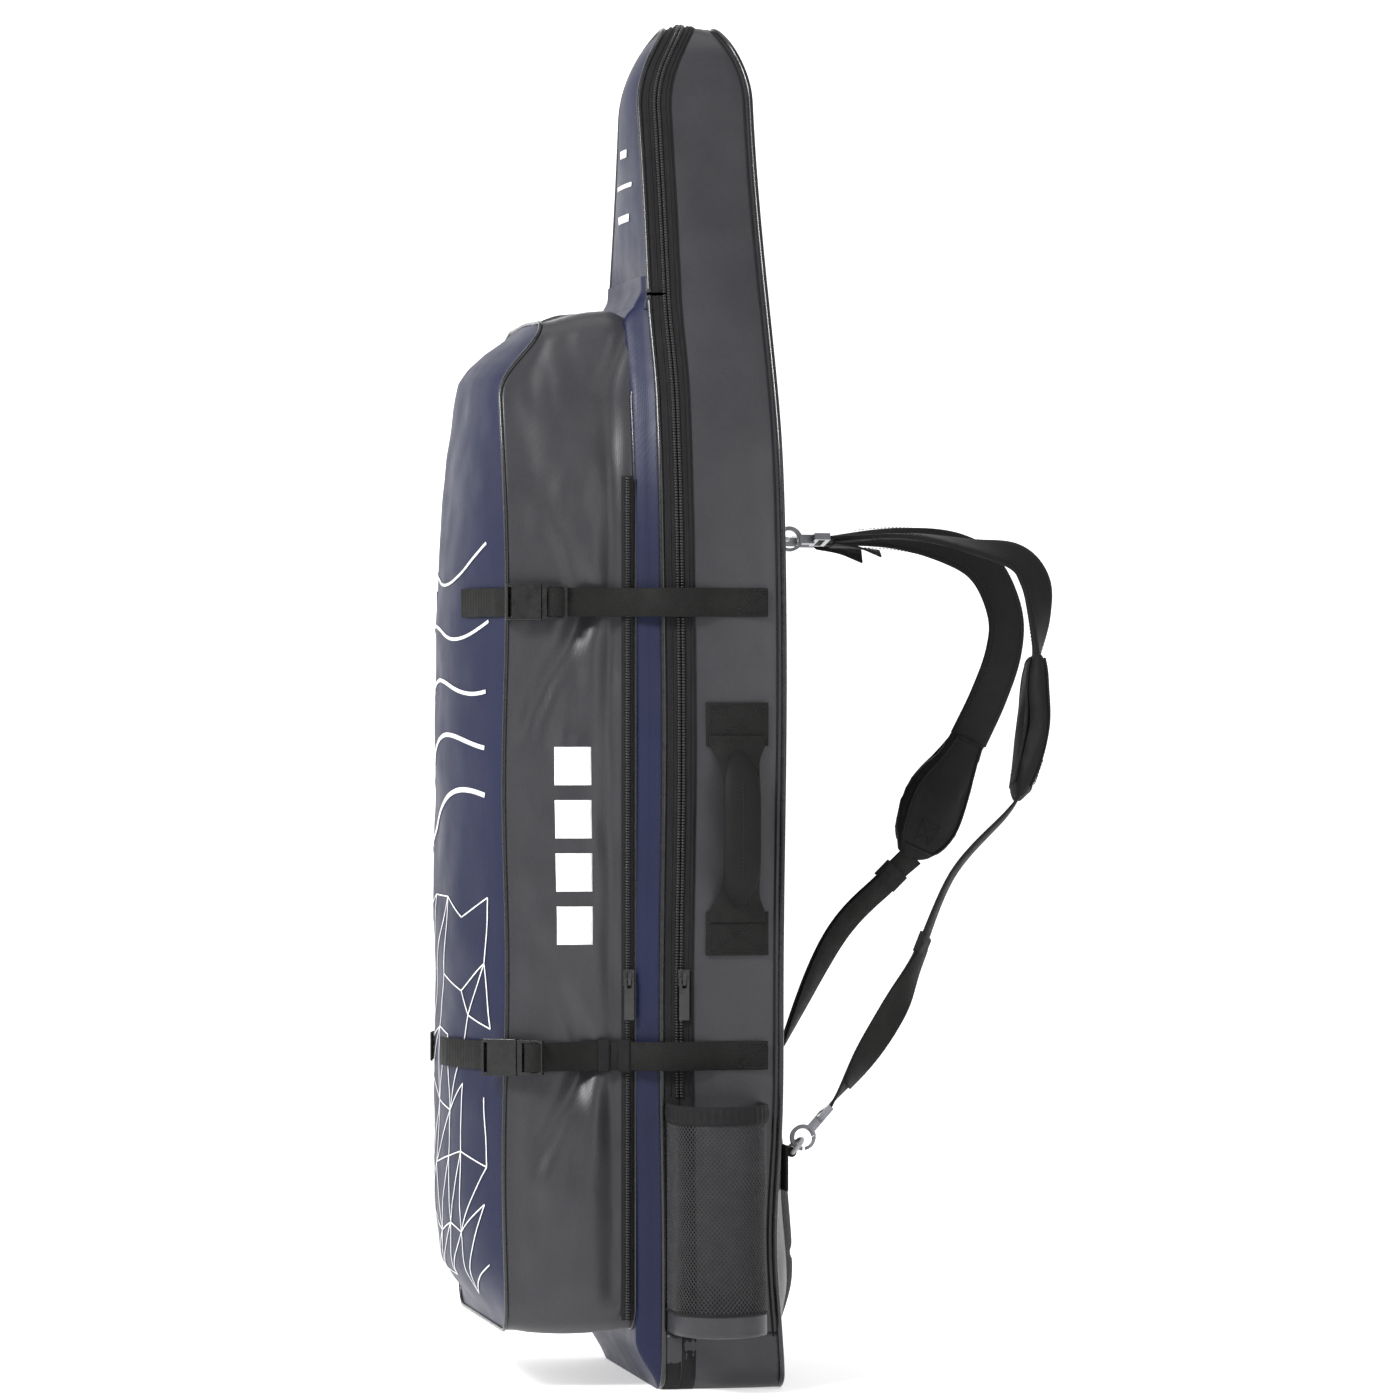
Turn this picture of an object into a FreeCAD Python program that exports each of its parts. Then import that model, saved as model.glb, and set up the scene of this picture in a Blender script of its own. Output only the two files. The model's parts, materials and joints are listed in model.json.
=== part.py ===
import FreeCAD, Part
import math
import os

import Sketcher
from FreeCAD import Placement, Rotation, Vector

# A tall backpack for long diving fins, in millimetres. +Z is up, -Y is the front with the big pocket, +Y is
# the back with the shoulder straps, and +X is the side with the carry handle and the bottle pocket. The
# origin is the middle of the main compartment's base.

DIMENSIONS = {
    # main compartment
    "bag_height": 1200, "half_width": 155, "half_depth": 53, "shoulder_height": 800, "crown_radius": 38,
    "wall": 4, "piping": 3, "flap_height": 957, "zip_setback": 15, "tape_end": 256, "tape_width": 25,
    "back_thickness": 5, "board_thickness": 4, "board_top": 1040, "front_rise": 22, "front_inset": 10,
    "lumbar_top": 290, "lumbar_half_width": 108, "lumbar_depth": 30, "seam_gap": 0.4,
    # front pocket
    "pocket_half_width": 145, "pocket_rear": 75, "pocket_edge": 191, "pocket_crown": 228,
    "pocket_bottom": 49, "pocket_top": 940,
    # webbing and side-release buckles
    "webbing_width": 25, "webbing_thickness": 1.8, "upper_strap_height": 685, "lower_strap_height": 291,
    "bridge_clearance": 13, "strap_end": 39, "buckle_stand_off": 3.5, "buckle_height": 10,
    "female_length": 31, "buckle_length": 54, "buckle_half_width": 16, "lower_buckle_turn": 25,
    # carry handle
    "handle_middle": 488, "handle_reach": 110, "handle_centre": 12, "patch_length": 38, "patch_width": 55,
    "grip_width": 33, "grip_length": 104, "grip_thickness": 12, "grip_stand_off": 20,
    # bottle pocket
    "bottle_centre": -8.5, "bottle_radius": 41.5, "bottle_straight": 35, "bottle_wall": 2.5,
    "bottle_floor": 46, "bottle_cup_top": 71, "bottle_band": 235, "bottle_top": 251,
    # rings, hooks and shoulder straps
    "upper_ring_offset": 40, "upper_ring_height": 743, "lower_ring_offset": 130, "lower_ring_height": 205,
    "ring_radius": 15, "ring_wire": 2, "ring_stand_off": 6, "lower_ring_tilt": 45,
    "eye_radius": 8, "eye_thickness": 3.5, "eye_width": 4, "hook_length": 36,
    "strap_width": 38, "strap_thickness": 6, "pad_width": 62, "pad_thickness": 20,
    "lower_webbing_thickness": 2.4,
    # zip slider
    "slider_height": 352, "slider_length": 14, "slider_width": 10, "slider_base": 3, "bridge_top": 6.8,
    "puller_length": 36, "puller_half_width": 4.5,
}


class Size:
    """A number together with the spreadsheet expression that gives it."""

    def __init__(self, value, text):
        self.value, self.text = float(value), text

    def __add__(self, other):
        other = size(other)
        return Size(self.value + other.value, f"({self.text} + {other.text})")

    def __sub__(self, other):
        other = size(other)
        return Size(self.value - other.value, f"({self.text} - {other.text})")

    def __mul__(self, other):
        other = size(other)
        return Size(self.value * other.value, f"({self.text} * {other.text})")

    def __truediv__(self, other):
        other = size(other)
        return Size(self.value / other.value, f"({self.text} / {other.text})")

    def __neg__(self):
        return Size(-self.value, f"(0 - {self.text})")

    def __float__(self):
        return self.value

    __radd__ = __add__
    __rmul__ = __mul__

    def __rsub__(self, other):
        return size(other) - self


def size(number):
    """The number itself when it is a Size already, or a Size that holds a plain number."""
    return number if isinstance(number, Size) else Size(number, repr(float(number)))


doc = FreeCAD.newDocument("FinBackpack")
sheet = doc.addObject("Spreadsheet::Sheet", "dims")
for row, (alias, number) in enumerate(DIMENSIONS.items(), start=1):
    sheet.set(f"A{row}", alias)
    sheet.set(f"B{row}", str(number))
    sheet.setAlias(f"B{row}", alias)
doc.recompute()


def dim(alias):
    return Size(sheet.get(alias), f"dims.{alias}")


nodes = {}


def node(thing, label):
    """Names a finished sub-part and keeps it for export."""
    thing.Label = label
    nodes[label] = thing
    return thing


def block(label, low, high):
    """A box between two corners."""
    box = doc.addObject("Part::Box", label)
    box.Label = label
    low, high = [size(v) for v in low], [size(v) for v in high]
    for side, a, b in zip(("Length", "Width", "Height"), low, high):
        box.setExpression(side, (b - a).text)
    for axis, a in zip("xyz", low):
        box.setExpression(f"Placement.Base.{axis}", a.text)
    return box


def joined(label, *pieces):
    union = doc.addObject("Part::MultiFuse", label)
    union.Shapes = list(pieces)
    union.Label = label
    return union


def grouped(label, *pieces):
    group = doc.addObject("Part::Compound", label)
    group.Links = list(pieces)
    group.Label = label
    return group


def carved(label, base, *tools):
    cut = doc.addObject("Part::Cut", label)
    cut.Base = base
    cut.Tool = tools[0] if len(tools) == 1 else joined(f"{label}_tools", *tools)
    cut.Label = label
    return cut


def feature(label, shape, placement=None):
    """A sub-part whose curved form is made with Part's own functions."""
    part = doc.addObject("Part::Feature", label)
    part.Shape = shape
    part.Placement = placement or Placement()
    part.Label = label
    return part


def padded(label, plane, corners, start, end, placement=None):
    """A body padded from a closed outline on an origin plane. A corner is (across, up), and one that starts a
    half round is (across, up, the distance that places its centre, a point on it)."""
    body = doc.addObject("PartDesign::Body", label)
    body.Label = label
    sketch = body.newObject("Sketcher::SketchObject", f"{label}_outline")
    origin = [f for f in body.Origin.OriginFeatures if f.Role == plane][0]
    sketch.AttachmentSupport = [(origin, "")]
    sketch.MapMode = "FlatFace"
    start, end = size(start), size(end)
    # the XZ plane's normal points along -Y, so its pads start from their higher Y
    offset = -end if plane == "XZ_Plane" else start
    sketch.setExpression("AttachmentOffset.Base.z", offset.text)
    sizes = [(size(c[0]), size(c[1])) for c in corners]
    points = [Vector(float(u), float(v), 0) for u, v in sizes]
    for i, corner in enumerate(corners):
        first, last = points[i], points[(i + 1) % len(points)]
        if len(corner) == 2:
            sketch.addGeometry(Part.LineSegment(first, last))
        else:
            middle = Vector(float(corner[3][0]), float(corner[3][1]), 0)
            sketch.addGeometry(Part.Arc(first, middle, last))
    for i, corner in enumerate(corners):
        ends = edge_ends(sketch, i, points[i])
        following = (i + 1) % len(corners)
        next_start = edge_ends(sketch, following, points[following])[0]
        sketch.addConstraint(Sketcher.Constraint("Coincident", i, ends[1], following, next_start))
        for kind, amount in zip(("DistanceX", "DistanceY"), sizes[i]):
            index = sketch.addConstraint(
                Sketcher.Constraint(kind, -1, 1, i, ends[0], float(amount)))
            sketch.setExpression(f"Constraints[{index}]", amount.text)
        if len(corner) > 2:
            kind, amount = corner[2]
            index = sketch.addConstraint(Sketcher.Constraint(kind, -1, 1, i, 3, float(amount)))
            sketch.setExpression(f"Constraints[{index}]", size(amount).text)
    pad = body.newObject("PartDesign::Pad", f"{label}_pad")
    pad.Profile = sketch
    pad.setExpression("Length", (end - start).text)
    body.Tip = pad
    sketch.Visibility = False
    if placement:
        body.Placement = placement
    return body


def edge_ends(sketch, edge, first):
    """Which of an edge's two ends, 1 or 2, comes first on the outline, and which comes last."""
    return (1, 2) if sketch.getPoint(edge, 1).distanceToPoint(first) < 0.001 else (2, 1)


# ---- driving dimensions, by name

HEIGHT, HALF, DEPTH = dim("bag_height"), dim("half_width"), dim("half_depth")
SHOULDER, CROWN = dim("shoulder_height"), dim("crown_radius")
WALL, PIPING, FLAP = dim("wall"), dim("piping"), dim("flap_height")
GAP = dim("seam_gap")
CROWN_CENTRE = HEIGHT - PIPING - CROWN
ZIP_LINE = DEPTH - dim("zip_setback")
WEBBING, THICK = dim("webbing_width"), dim("webbing_thickness")
BACK = DEPTH + dim("back_thickness")
SIDES = (("right", 1), ("left", -1))


def half_at(height):
    """Half the bag's width at a height on the taper."""
    return HALF - (HALF - CROWN) * (height - SHOULDER) / (CROWN_CENTRE - SHOULDER)


def arch(low, inner, outer):
    """An upside-down U that follows the bag's front outline, between two distances outside its wall."""
    tapered = size(low).value > SHOULDER.value
    foot = half_at(size(low)) if tapered else HALF
    corners = []
    for out, way in ((size(outer), 1), (size(inner), -1)):
        leg = [(foot + out, low)]
        if size(low).value < SHOULDER.value:
            leg.append((HALF + out, SHOULDER))
        top = CROWN + out
        rise = [(u * way, v) for u, v in leg]
        fall = [(u * -way, v) for u, v in reversed(leg)]
        crown = (top * way, CROWN_CENTRE, ("DistanceY", CROWN_CENTRE), (size(0), CROWN_CENTRE + top))
        corners += rise + [crown, (top * -way, CROWN_CENTRE)] + fall
    return corners


def panel_outline(low, inset):
    """The bag's front outline from a height upwards, drawn in by an inset."""
    if size(low).value > SHOULDER.value:
        legs = [(half_at(size(low)) - inset, low)]
    else:
        legs = [(HALF - inset, low), (HALF - inset, SHOULDER)]
    top = CROWN - inset
    arc = (top, CROWN_CENTRE, ("DistanceY", CROWN_CENTRE), (size(0), CROWN_CENTRE + top))
    return (legs + [arc, (-top, CROWN_CENTRE)]
            + [(-u, v) for u, v in reversed(legs)])


def ribbon(points, thickness):
    """The outline of a strip of even thickness that follows a line of points, with mitred bends."""
    path = [Vector(float(u), float(v), 0) for u, v in points]
    left, right = [], []
    for i, here in enumerate(path):
        before = (here - path[i - 1]).normalize() if i else (path[1] - here).normalize()
        after = (path[i + 1] - here).normalize() if i < len(path) - 1 else before
        across = Vector(-(before + after).y, (before + after).x, 0).normalize()
        normal = Vector(-before.y, before.x, 0)
        reach = thickness / 2 / across.dot(normal)
        left.append(here + across * reach)
        right.append(here - across * reach)
    return [(p.x, p.y) for p in left + right[::-1]]


# ---- main compartment

for side, sign in SIDES:
    inner, outer = sorted((HALF * sign, (HALF - WALL) * sign), key=float)
    node(block(f"{side}_gusset", (inner, -DEPTH, WALL), (outer, DEPTH, SHOULDER)), f"{side}_gusset")

upper_ring = padded("top_gusset_rear", "XZ_Plane", arch(SHOULDER, -WALL, size(0)), -ZIP_LINE, DEPTH)
strips = []
for side, sign in SIDES:
    corners = [(HALF * sign, SHOULDER), (half_at(FLAP - 1) * sign, FLAP - 1),
               ((half_at(FLAP - 1) - WALL) * sign, FLAP - 1), ((HALF - WALL) * sign, SHOULDER)]
    strips.append(padded(f"top_gusset_strip_{side}", "XZ_Plane", corners, -DEPTH, -ZIP_LINE))
node(joined("top_gusset", upper_ring, *strips), "top_gusset")

node(block("base_panel", (-HALF, -DEPTH, 0), (HALF, DEPTH, WALL)), "base_panel")
node(padded("back_panel", "XZ_Plane", panel_outline(size(0), size(0)), DEPTH, BACK), "back_panel")
board_inset = WALL + 4
board_top = dim("board_top")
node(padded("back_board", "XZ_Plane",
            [(HALF - board_inset, WALL + 2), (HALF - board_inset, SHOULDER),
             (half_at(board_top) - board_inset, board_top), (board_inset - half_at(board_top), board_top),
             (board_inset - HALF, SHOULDER), (board_inset - HALF, WALL + 2)],
            DEPTH - dim("board_thickness"), DEPTH), "back_board")

lumbar, swell = dim("lumbar_half_width"), dim("lumbar_depth")
node(padded("lumbar_pad", "YZ_Plane",
            [(BACK, 12), (BACK + swell * 0.7, 34), (BACK + swell, 110), (BACK + swell * 0.4, 235),
             (BACK, dim("lumbar_top"))], -lumbar, lumbar), "lumbar_pad")


def front_ring(y, inset, low, top):
    """The lower front panel's outline at one depth, as a wire."""
    hip, waist = float(HALF) - inset, float(half_at(size(top))) - inset
    shoulder = float(SHOULDER)
    corners = [(hip, low), (hip, shoulder), (waist, top), (-waist, top), (-hip, shoulder), (-hip, low)]
    points = [Vector(u, y, v) for u, v in corners]
    return Part.makePolygon(points + points[:1])


front_top, rise, inset = float(FLAP) - 1, float(dim("front_rise")), float(dim("front_inset"))
rear_y, front_y, skin = -float(DEPTH), -float(DEPTH + dim("front_rise")), float(WALL)
outer_tray = Part.makeLoft([front_ring(rear_y, 0, 1, front_top),
                            front_ring(front_y, inset, inset, front_top - inset)], True, True)
inner_rear = front_ring(rear_y, skin, 1 + skin, front_top - skin)
inner_front = front_ring(front_y + skin, inset + skin - 1, inset + skin, front_top - inset - skin)
inner_tray = Part.makeLoft([inner_rear, inner_front], True, True)
node(feature("main_front_panel", outer_tray.cut(inner_tray)), "main_front_panel")

node(padded("rear_piping", "XZ_Plane", arch(3, size(0), PIPING), DEPTH - 2, DEPTH + PIPING), "rear_piping")
front_legs = []
for side, sign in SIDES:
    top, end = half_at(FLAP - 1), FLAP - 1
    inner = [(HALF, 3), (HALF, SHOULDER), (top, end)]
    outer = [(top + PIPING, end), (HALF + PIPING, SHOULDER), (HALF + PIPING, 3)]
    corners = [(u * sign, v) for u, v in inner + outer]
    front_legs.append(padded(f"front_piping_{side}", "XZ_Plane", corners, -DEPTH - PIPING, 2 - DEPTH))
node(grouped("front_piping", *front_legs), "front_piping")

# ---- main zip, on the gusset's front edge, and the flap that it lets open

TAPE = 1.2
COIL = 2.2
rear_tape = padded("zip_tape_rear", "XZ_Plane", arch(dim("tape_end"), size(0), size(TAPE)),
                   -ZIP_LINE + GAP, dim("tape_width") - DEPTH)
front_tapes = []
for side, sign in SIDES:
    top = half_at(FLAP - 1)
    corners = [(HALF * sign, dim("tape_end")), (HALF * sign, SHOULDER), (top * sign, FLAP - 1),
               ((top + TAPE) * sign, FLAP - 1), ((HALF + TAPE) * sign, SHOULDER),
               ((HALF + TAPE) * sign, dim("tape_end"))]
    front_tapes.append(padded(f"zip_tape_front_{side}", "XZ_Plane", corners, 2.5 - DEPTH, -ZIP_LINE))
node(grouped("main_zip_tape", rear_tape, *front_tapes), "main_zip_tape")
node(padded("main_zip_coil", "XZ_Plane", arch(dim("tape_end") + 4, size(TAPE), size(TAPE + COIL)),
            -ZIP_LINE + GAP, -ZIP_LINE + 5), "main_zip_coil")

flap_plate = padded("flap_plate", "XZ_Plane", panel_outline(FLAP, size(0)), -DEPTH - WALL, -DEPTH)
flap_rim = padded("flap_rim", "XZ_Plane", arch(FLAP, -WALL, size(0)), -DEPTH, -ZIP_LINE - GAP)
node(joined("flap_panel", flap_plate, flap_rim), "flap_panel")
flap_edge = padded("flap_edge", "XZ_Plane", arch(FLAP, size(0), PIPING), -DEPTH - PIPING, 2 - DEPTH)
flap_tape = padded("flap_tape", "XZ_Plane", arch(FLAP, size(0), size(TAPE)), 2.5 - DEPTH, -ZIP_LINE - GAP)
node(grouped("flap_trim", flap_edge, flap_tape), "flap_trim")


def slider(label, surface, centre, low):
    """A zip slider whose bridge leaves an eye for its puller."""
    length = dim("slider_length")
    half, floor, roof = dim("slider_width") / 2, surface + dim("slider_base"), surface + dim("bridge_top")
    base = block(f"{label}_base", (surface, centre - half, low), (floor, centre + half, low + length))
    bridge = block(f"{label}_bridge", (floor, centre - 1.5, low + 1), (roof, centre + 1.5, low + length - 2))
    eye = block(f"{label}_eye", (floor + 0.1, centre - 2, low + 3.4), (roof - 0.9, centre + 2, low + 9))
    return carved(label, joined(f"{label}_solid", base, bridge), eye)


def puller(label, surface, centre, low):
    """A puller tab that hangs from the bridge of its slider by a loop round it."""
    bar = low + 6
    tab_low = bar - dim("puller_length")
    half = dim("puller_half_width")
    plate = block(f"{label}_plate", (surface + 3.8, centre - half, tab_low), (surface + 5.2, centre + half, bar + 1))
    window = block(f"{label}_window", (surface + 3, centre - 2, low - 2), (surface + 6, centre + 2, bar - 1))
    return carved(label, plate, window)


zip_centre = -ZIP_LINE + 2.5
main_surface = HALF + TAPE + COIL + 0.4
node(slider("main_zip_slider", main_surface, zip_centre, dim("slider_height")), "main_zip_slider")
node(puller("main_zip_puller", main_surface, zip_centre, dim("slider_height")), "main_zip_puller")

# ---- front pocket

P_HALF, P_REAR, P_EDGE = dim("pocket_half_width"), -dim("pocket_rear"), -dim("pocket_edge")
P_CROWN, P_LOW, P_TOP = -dim("pocket_crown"), dim("pocket_bottom"), dim("pocket_top")
rear = P_REAR - GAP
brow = [(rear, P_TOP - 1), (P_REAR - 50, P_TOP - 4), (P_REAR - 90, P_TOP - 19), (P_EDGE, P_TOP - 38)]

P_BROW_HALF = half_at(P_TOP) - dim("front_inset")


def pocket_outline(inset):
    """The pocket's front outline, drawn in by an inset, which narrows above the shoulder as the bag does."""
    rise = [(P_HALF - inset, P_LOW + inset / 4), (P_HALF - inset, SHOULDER), (P_BROW_HALF - inset, P_TOP)]
    return rise + [(-u, v) for u, v in reversed(rise)]


def pocket_profile(label):
    """The pocket's side view, as a solid wider than the pocket."""
    corners = [(rear, P_LOW)] + brow + [(P_EDGE, P_LOW + 5)]
    return padded(label, "YZ_Plane", corners, -HALF, HALF)


def shared(label, first, second):
    common = doc.addObject("Part::MultiCommon", label)
    common.Shapes = [first, second]
    common.Label = label
    return common


for side, sign in SIDES:
    wall = [(P_HALF * sign, P_LOW), (P_HALF * sign, SHOULDER), (P_BROW_HALF * sign, P_TOP),
            ((P_BROW_HALF - WALL) * sign, P_TOP), ((P_HALF - WALL) * sign, SHOULDER),
            ((P_HALF - WALL) * sign, P_LOW)]
    band = padded(f"pocket_wall_{side}", "XZ_Plane", wall, P_EDGE, rear)
    node(shared(f"pocket_gusset_{side}", band, pocket_profile(f"pocket_profile_{side}")), f"pocket_gusset_{side}")
under = [(u, v - WALL) for u, v in reversed(brow)]
strip = padded("pocket_top_strip", "YZ_Plane", brow + under, -P_HALF, P_HALF)
within = padded("pocket_within", "XZ_Plane", pocket_outline(WALL + 0.1), P_EDGE - 1, rear + 1)
node(shared("pocket_gusset_top", strip, within), "pocket_gusset_top")
node(block("pocket_gusset_bottom", (WALL - P_HALF, P_EDGE, P_LOW + 1), (P_HALF - WALL, rear, P_LOW + 1 + WALL)),
     "pocket_gusset_bottom")


def crown_radius():
    """The radius of the pocket's crowned front, across its width."""
    sag, half = float(P_EDGE - P_CROWN), float(P_HALF)
    return (half * half + sag * sag) / (2 * sag)


def crown_y(x):
    """How far forward the crowned front is, at a distance from the middle."""
    radius = crown_radius()
    return float(P_CROWN) + radius - math.sqrt(radius * radius - x * x)


def crowned_front():
    """The front panel: a crown across its width that also rounds off at the top and the bottom."""
    edge, crown, low, top = float(P_EDGE) - 0.1, float(P_CROWN), float(P_LOW), float(P_TOP)
    profile = [(edge, low + 5), (crown + 4, low + 55), (crown, low + 110), (crown, top - 300),
               (crown + 12, top - 124), (crown + 21, top - 57), (edge, top - 38)]
    points = [Vector(-float(P_HALF), y, z) for y, z in profile]
    side = Part.Face(Part.makePolygon(points + points[:1])).extrude(Vector(2 * float(P_HALF), 0, 0))
    half = float(P_HALF)
    arc = Part.Arc(Vector(-half, edge, 0), Vector(0, crown, 0), Vector(half, edge, 0)).toShape()
    chord = Part.makeLine(Vector(half, edge, 0), Vector(-half, edge, 0))
    across = Part.Face(Part.Wire([arc, chord])).extrude(Vector(0, 0, float(HEIGHT)))
    outside = side.common(across)
    inside = outside.copy()
    inside.translate(Vector(0, float(WALL), 0))
    corners = [Vector(float(u), crown - 1, float(v)) for u, v in pocket_outline(size(0))]
    outline = Part.Face(Part.makePolygon(corners + corners[:1])).extrude(Vector(0, edge - crown + 1, 0))
    return outside.cut(inside).common(outline)


node(feature("pocket_front_panel", crowned_front()), "pocket_front_panel")

seam_strips = []
for side, sign in SIDES:
    for name, out, low, high in (("tape", TAPE, -13, -2), ("coil", TAPE + COIL, -9.5, -5)):
        inner, outer = sorted((P_HALF * sign, (P_HALF + out) * sign), key=float)
        seam_strips.append(block(f"pocket_{name}_{side}", (inner, P_REAR + low, P_LOW + 12),
                                 (outer, P_REAR + high, SHOULDER - 5)))
seam_sides = [joined(f"pocket_zip_{side}", *seam_strips[2 * i:2 * i + 2]) for i, (side, _) in enumerate(SIDES)]
node(grouped("pocket_zip", *seam_sides), "pocket_zip")
pocket_surface = P_HALF + TAPE + COIL + 0.4
node(slider("pocket_zip_slider", pocket_surface, P_REAR - 7.2, dim("slider_height")), "pocket_zip_slider")
node(puller("pocket_zip_puller", pocket_surface, P_REAR - 7.2, dim("slider_height")), "pocket_zip_puller")

# ---- compression straps: each buckle lies along its own Y, from the mouth of its webbing backwards

B_LENGTH, F_LENGTH, B_HALF, B_HIGH = (float(dim(n)) for n in (
    "buckle_length", "female_length", "buckle_half_width", "buckle_height"))


def box_shape(low, high):
    return Part.makeBox(*(b - a for a, b in zip(low, high)), Vector(*low))


def female_shape():
    """Body with a hollow mouth, a window on each edge, and a slot for the front webbing."""
    body = box_shape((0, 0, -B_HALF), (B_HIGH, F_LENGTH, B_HALF))
    mouth = box_shape((2, 6, -12.6), (B_HIGH - 2, F_LENGTH + 1, 12.6))
    windows = box_shape((2, 11, -B_HALF - 1), (B_HIGH - 2, 22, B_HALF + 1))
    slot = box_shape((-1, 2, -13), (B_HIGH + 1, 4.6, 13))
    return body.cut(mouth).cut(windows).cut(slot)


def male_shape():
    """Ladder frame with two slots, two prongs and a centre guide."""
    frame = box_shape((1.5, F_LENGTH + 0.4, -15), (B_HIGH - 1.5, B_LENGTH, 15))
    slots = [box_shape((0, low, -12.8), (B_HIGH, high, 12.8)) for low, high in ((36, 40), (44, 50))]
    prongs = [box_shape((2.5, 8, low), (B_HIGH - 2.5, F_LENGTH + 1, low + 4)) for low in (-12.2, 8.2)]
    guide = box_shape((3.2, 12, -2), (B_HIGH - 3.2, F_LENGTH + 1, 2))
    return frame.cut(slots[0]).cut(slots[1]).fuse(prongs + [guide]).removeSplitter()


def strap_places():
    """Each strap's height, name and the place and turn of its buckle on the right-hand side."""
    stand = float(P_HALF + dim("buckle_stand_off"))
    edge = float(P_EDGE)
    return (("upper", float(dim("upper_strap_height")), Vector(stand, edge, 0), 0.0, 80.0),
            ("lower", float(dim("lower_strap_height")), Vector(stand - 7.5, edge - 16, 0),
             float(dim("lower_buckle_turn")), 30.0))


def strap_line(start, turn):
    """The rear webbing's line, from below the ladder frame, over both seams and the zip, to its sewn end."""
    angle = math.radians(turn)
    along = Vector(math.sin(angle), math.cos(angle), 0)
    out = Vector(math.cos(angle), -math.sin(angle), 0)
    begin = start + along * (B_LENGTH - 6) - out * 1.4
    bridge = float(HALF + dim("bridge_clearance"))
    depth, side = float(DEPTH), float(HALF)
    line = [(begin.x, begin.y)]
    if turn:
        line.append((float(P_HALF) + 2.4, float(P_REAR) - 50))
    line += [(float(P_HALF) + 5.6, float(P_REAR) - 16), (bridge, -depth - 4), (bridge, -depth + 26),
             (side + 1.2, -depth + 50), (side + 1.2, float(dim("strap_end")))]
    return line


def mirrored(shape, sign):
    return shape if sign > 0 else shape.mirror(Vector(0, 0, 0), Vector(1, 0, 0))


half_web = float(WEBBING) / 2
for side, sign in SIDES:
    fronts, rears, females = [], [], []
    for level, height, start, turn, reach in strap_places():
        place = Placement(start + Vector(0, 0, height), Rotation(Vector(0, 0, 1), -turn))
        female = female_shape()
        female.Placement = place
        females.append(mirrored(female, sign))
        spot = Placement(Vector(start.x * sign, start.y, height), Rotation(Vector(0, 0, 1), -turn * sign))
        label = f"male_buckle_{level}_{side}"
        node(feature(label, mirrored(male_shape(), sign), spot), label)
        line = strap_line(start, turn)
        points = [Vector(u, v, height - half_web) for u, v in ribbon(line, float(THICK))]
        strip = Part.Face(Part.makePolygon(points + points[:1])).extrude(Vector(0, 0, float(WEBBING)))
        rears.append(mirrored(strip, sign))
        hold = 1.6
        near = start.x - 14
        xs = [near + (reach - near) * i / 6 for i in range(7)]
        front_line = [(x, crown_y(x) - hold) for x in xs]
        bar = place.multVec(Vector(4, -1.6, 0))
        points = [Vector(u, v, height - half_web)
                  for u, v in ribbon([(bar.x, bar.y)] + front_line, float(THICK))]
        strip = Part.Face(Part.makePolygon(points + points[:1])).extrude(Vector(0, 0, float(WEBBING)))
        fronts.append(mirrored(strip, sign))
    node(feature(f"front_webbing_{side}", Part.makeCompound(fronts)), f"front_webbing_{side}")
    node(feature(f"rear_webbing_{side}", Part.makeCompound(rears)), f"rear_webbing_{side}")
    node(feature(f"female_buckles_{side}", Part.makeCompound(females)), f"female_buckles_{side}")

# ---- carry handle on the right-hand side

H_MID, H_REACH, H_Y = dim("handle_middle"), dim("handle_reach"), dim("handle_centre")
patches = []
for name, way in (("top", 1), ("bottom", -1)):
    low, high = sorted((H_MID + H_REACH * way, H_MID + (H_REACH - dim("patch_length")) * way), key=float)
    patches.append(block(f"handle_patch_{name}", (HALF, H_Y - dim("patch_width") / 2, low),
                         (HALF + 2.5, H_Y + dim("patch_width") / 2, high)))
node(grouped("handle_patches", *patches), "handle_patches")

arm = H_REACH - dim("patch_length") - 1
foot = HALF + 2.8
inside = foot + dim("grip_stand_off")
outside = inside + dim("grip_thickness")
grip_half = dim("grip_length") / 2
arms = padded("handle_arms", "XZ_Plane",
              [(foot, H_MID + arm), (foot + 4, H_MID + arm), (outside, H_MID + grip_half),
               (outside, H_MID - grip_half), (foot + 4, H_MID - arm), (foot, H_MID - arm),
               (inside, H_MID - grip_half + 6), (inside, H_MID + grip_half - 6)], H_Y - 4, H_Y + 4)
grip = block("handle_grip_pad", (inside, H_Y - dim("grip_width") / 2, H_MID - grip_half),
             (outside, H_Y + dim("grip_width") / 2, H_MID + grip_half))
node(joined("handle_grip", arms, grip), "handle_grip")

# ---- bottle pocket on the right-hand side

B_Y, B_R, B_OUT = dim("bottle_centre"), dim("bottle_radius"), HALF + dim("bottle_straight")


def pocket_wall(label, low, high, thickness):
    """A wall that stands off the gusset with straight sides and a round front."""
    inner = B_R - thickness
    start = HALF + 0.1
    centre = ("DistanceX", B_OUT)
    corners = [(start, B_Y - B_R), (B_OUT, B_Y - B_R, centre, (B_OUT + B_R, B_Y)), (B_OUT, B_Y + B_R),
               (start, B_Y + B_R), (start, B_Y + inner), (B_OUT, B_Y + inner, centre, (B_OUT + inner, B_Y)),
               (B_OUT, B_Y - inner), (start, B_Y - inner)]
    return padded(label, "XY_Plane", corners, low, high)


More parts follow.
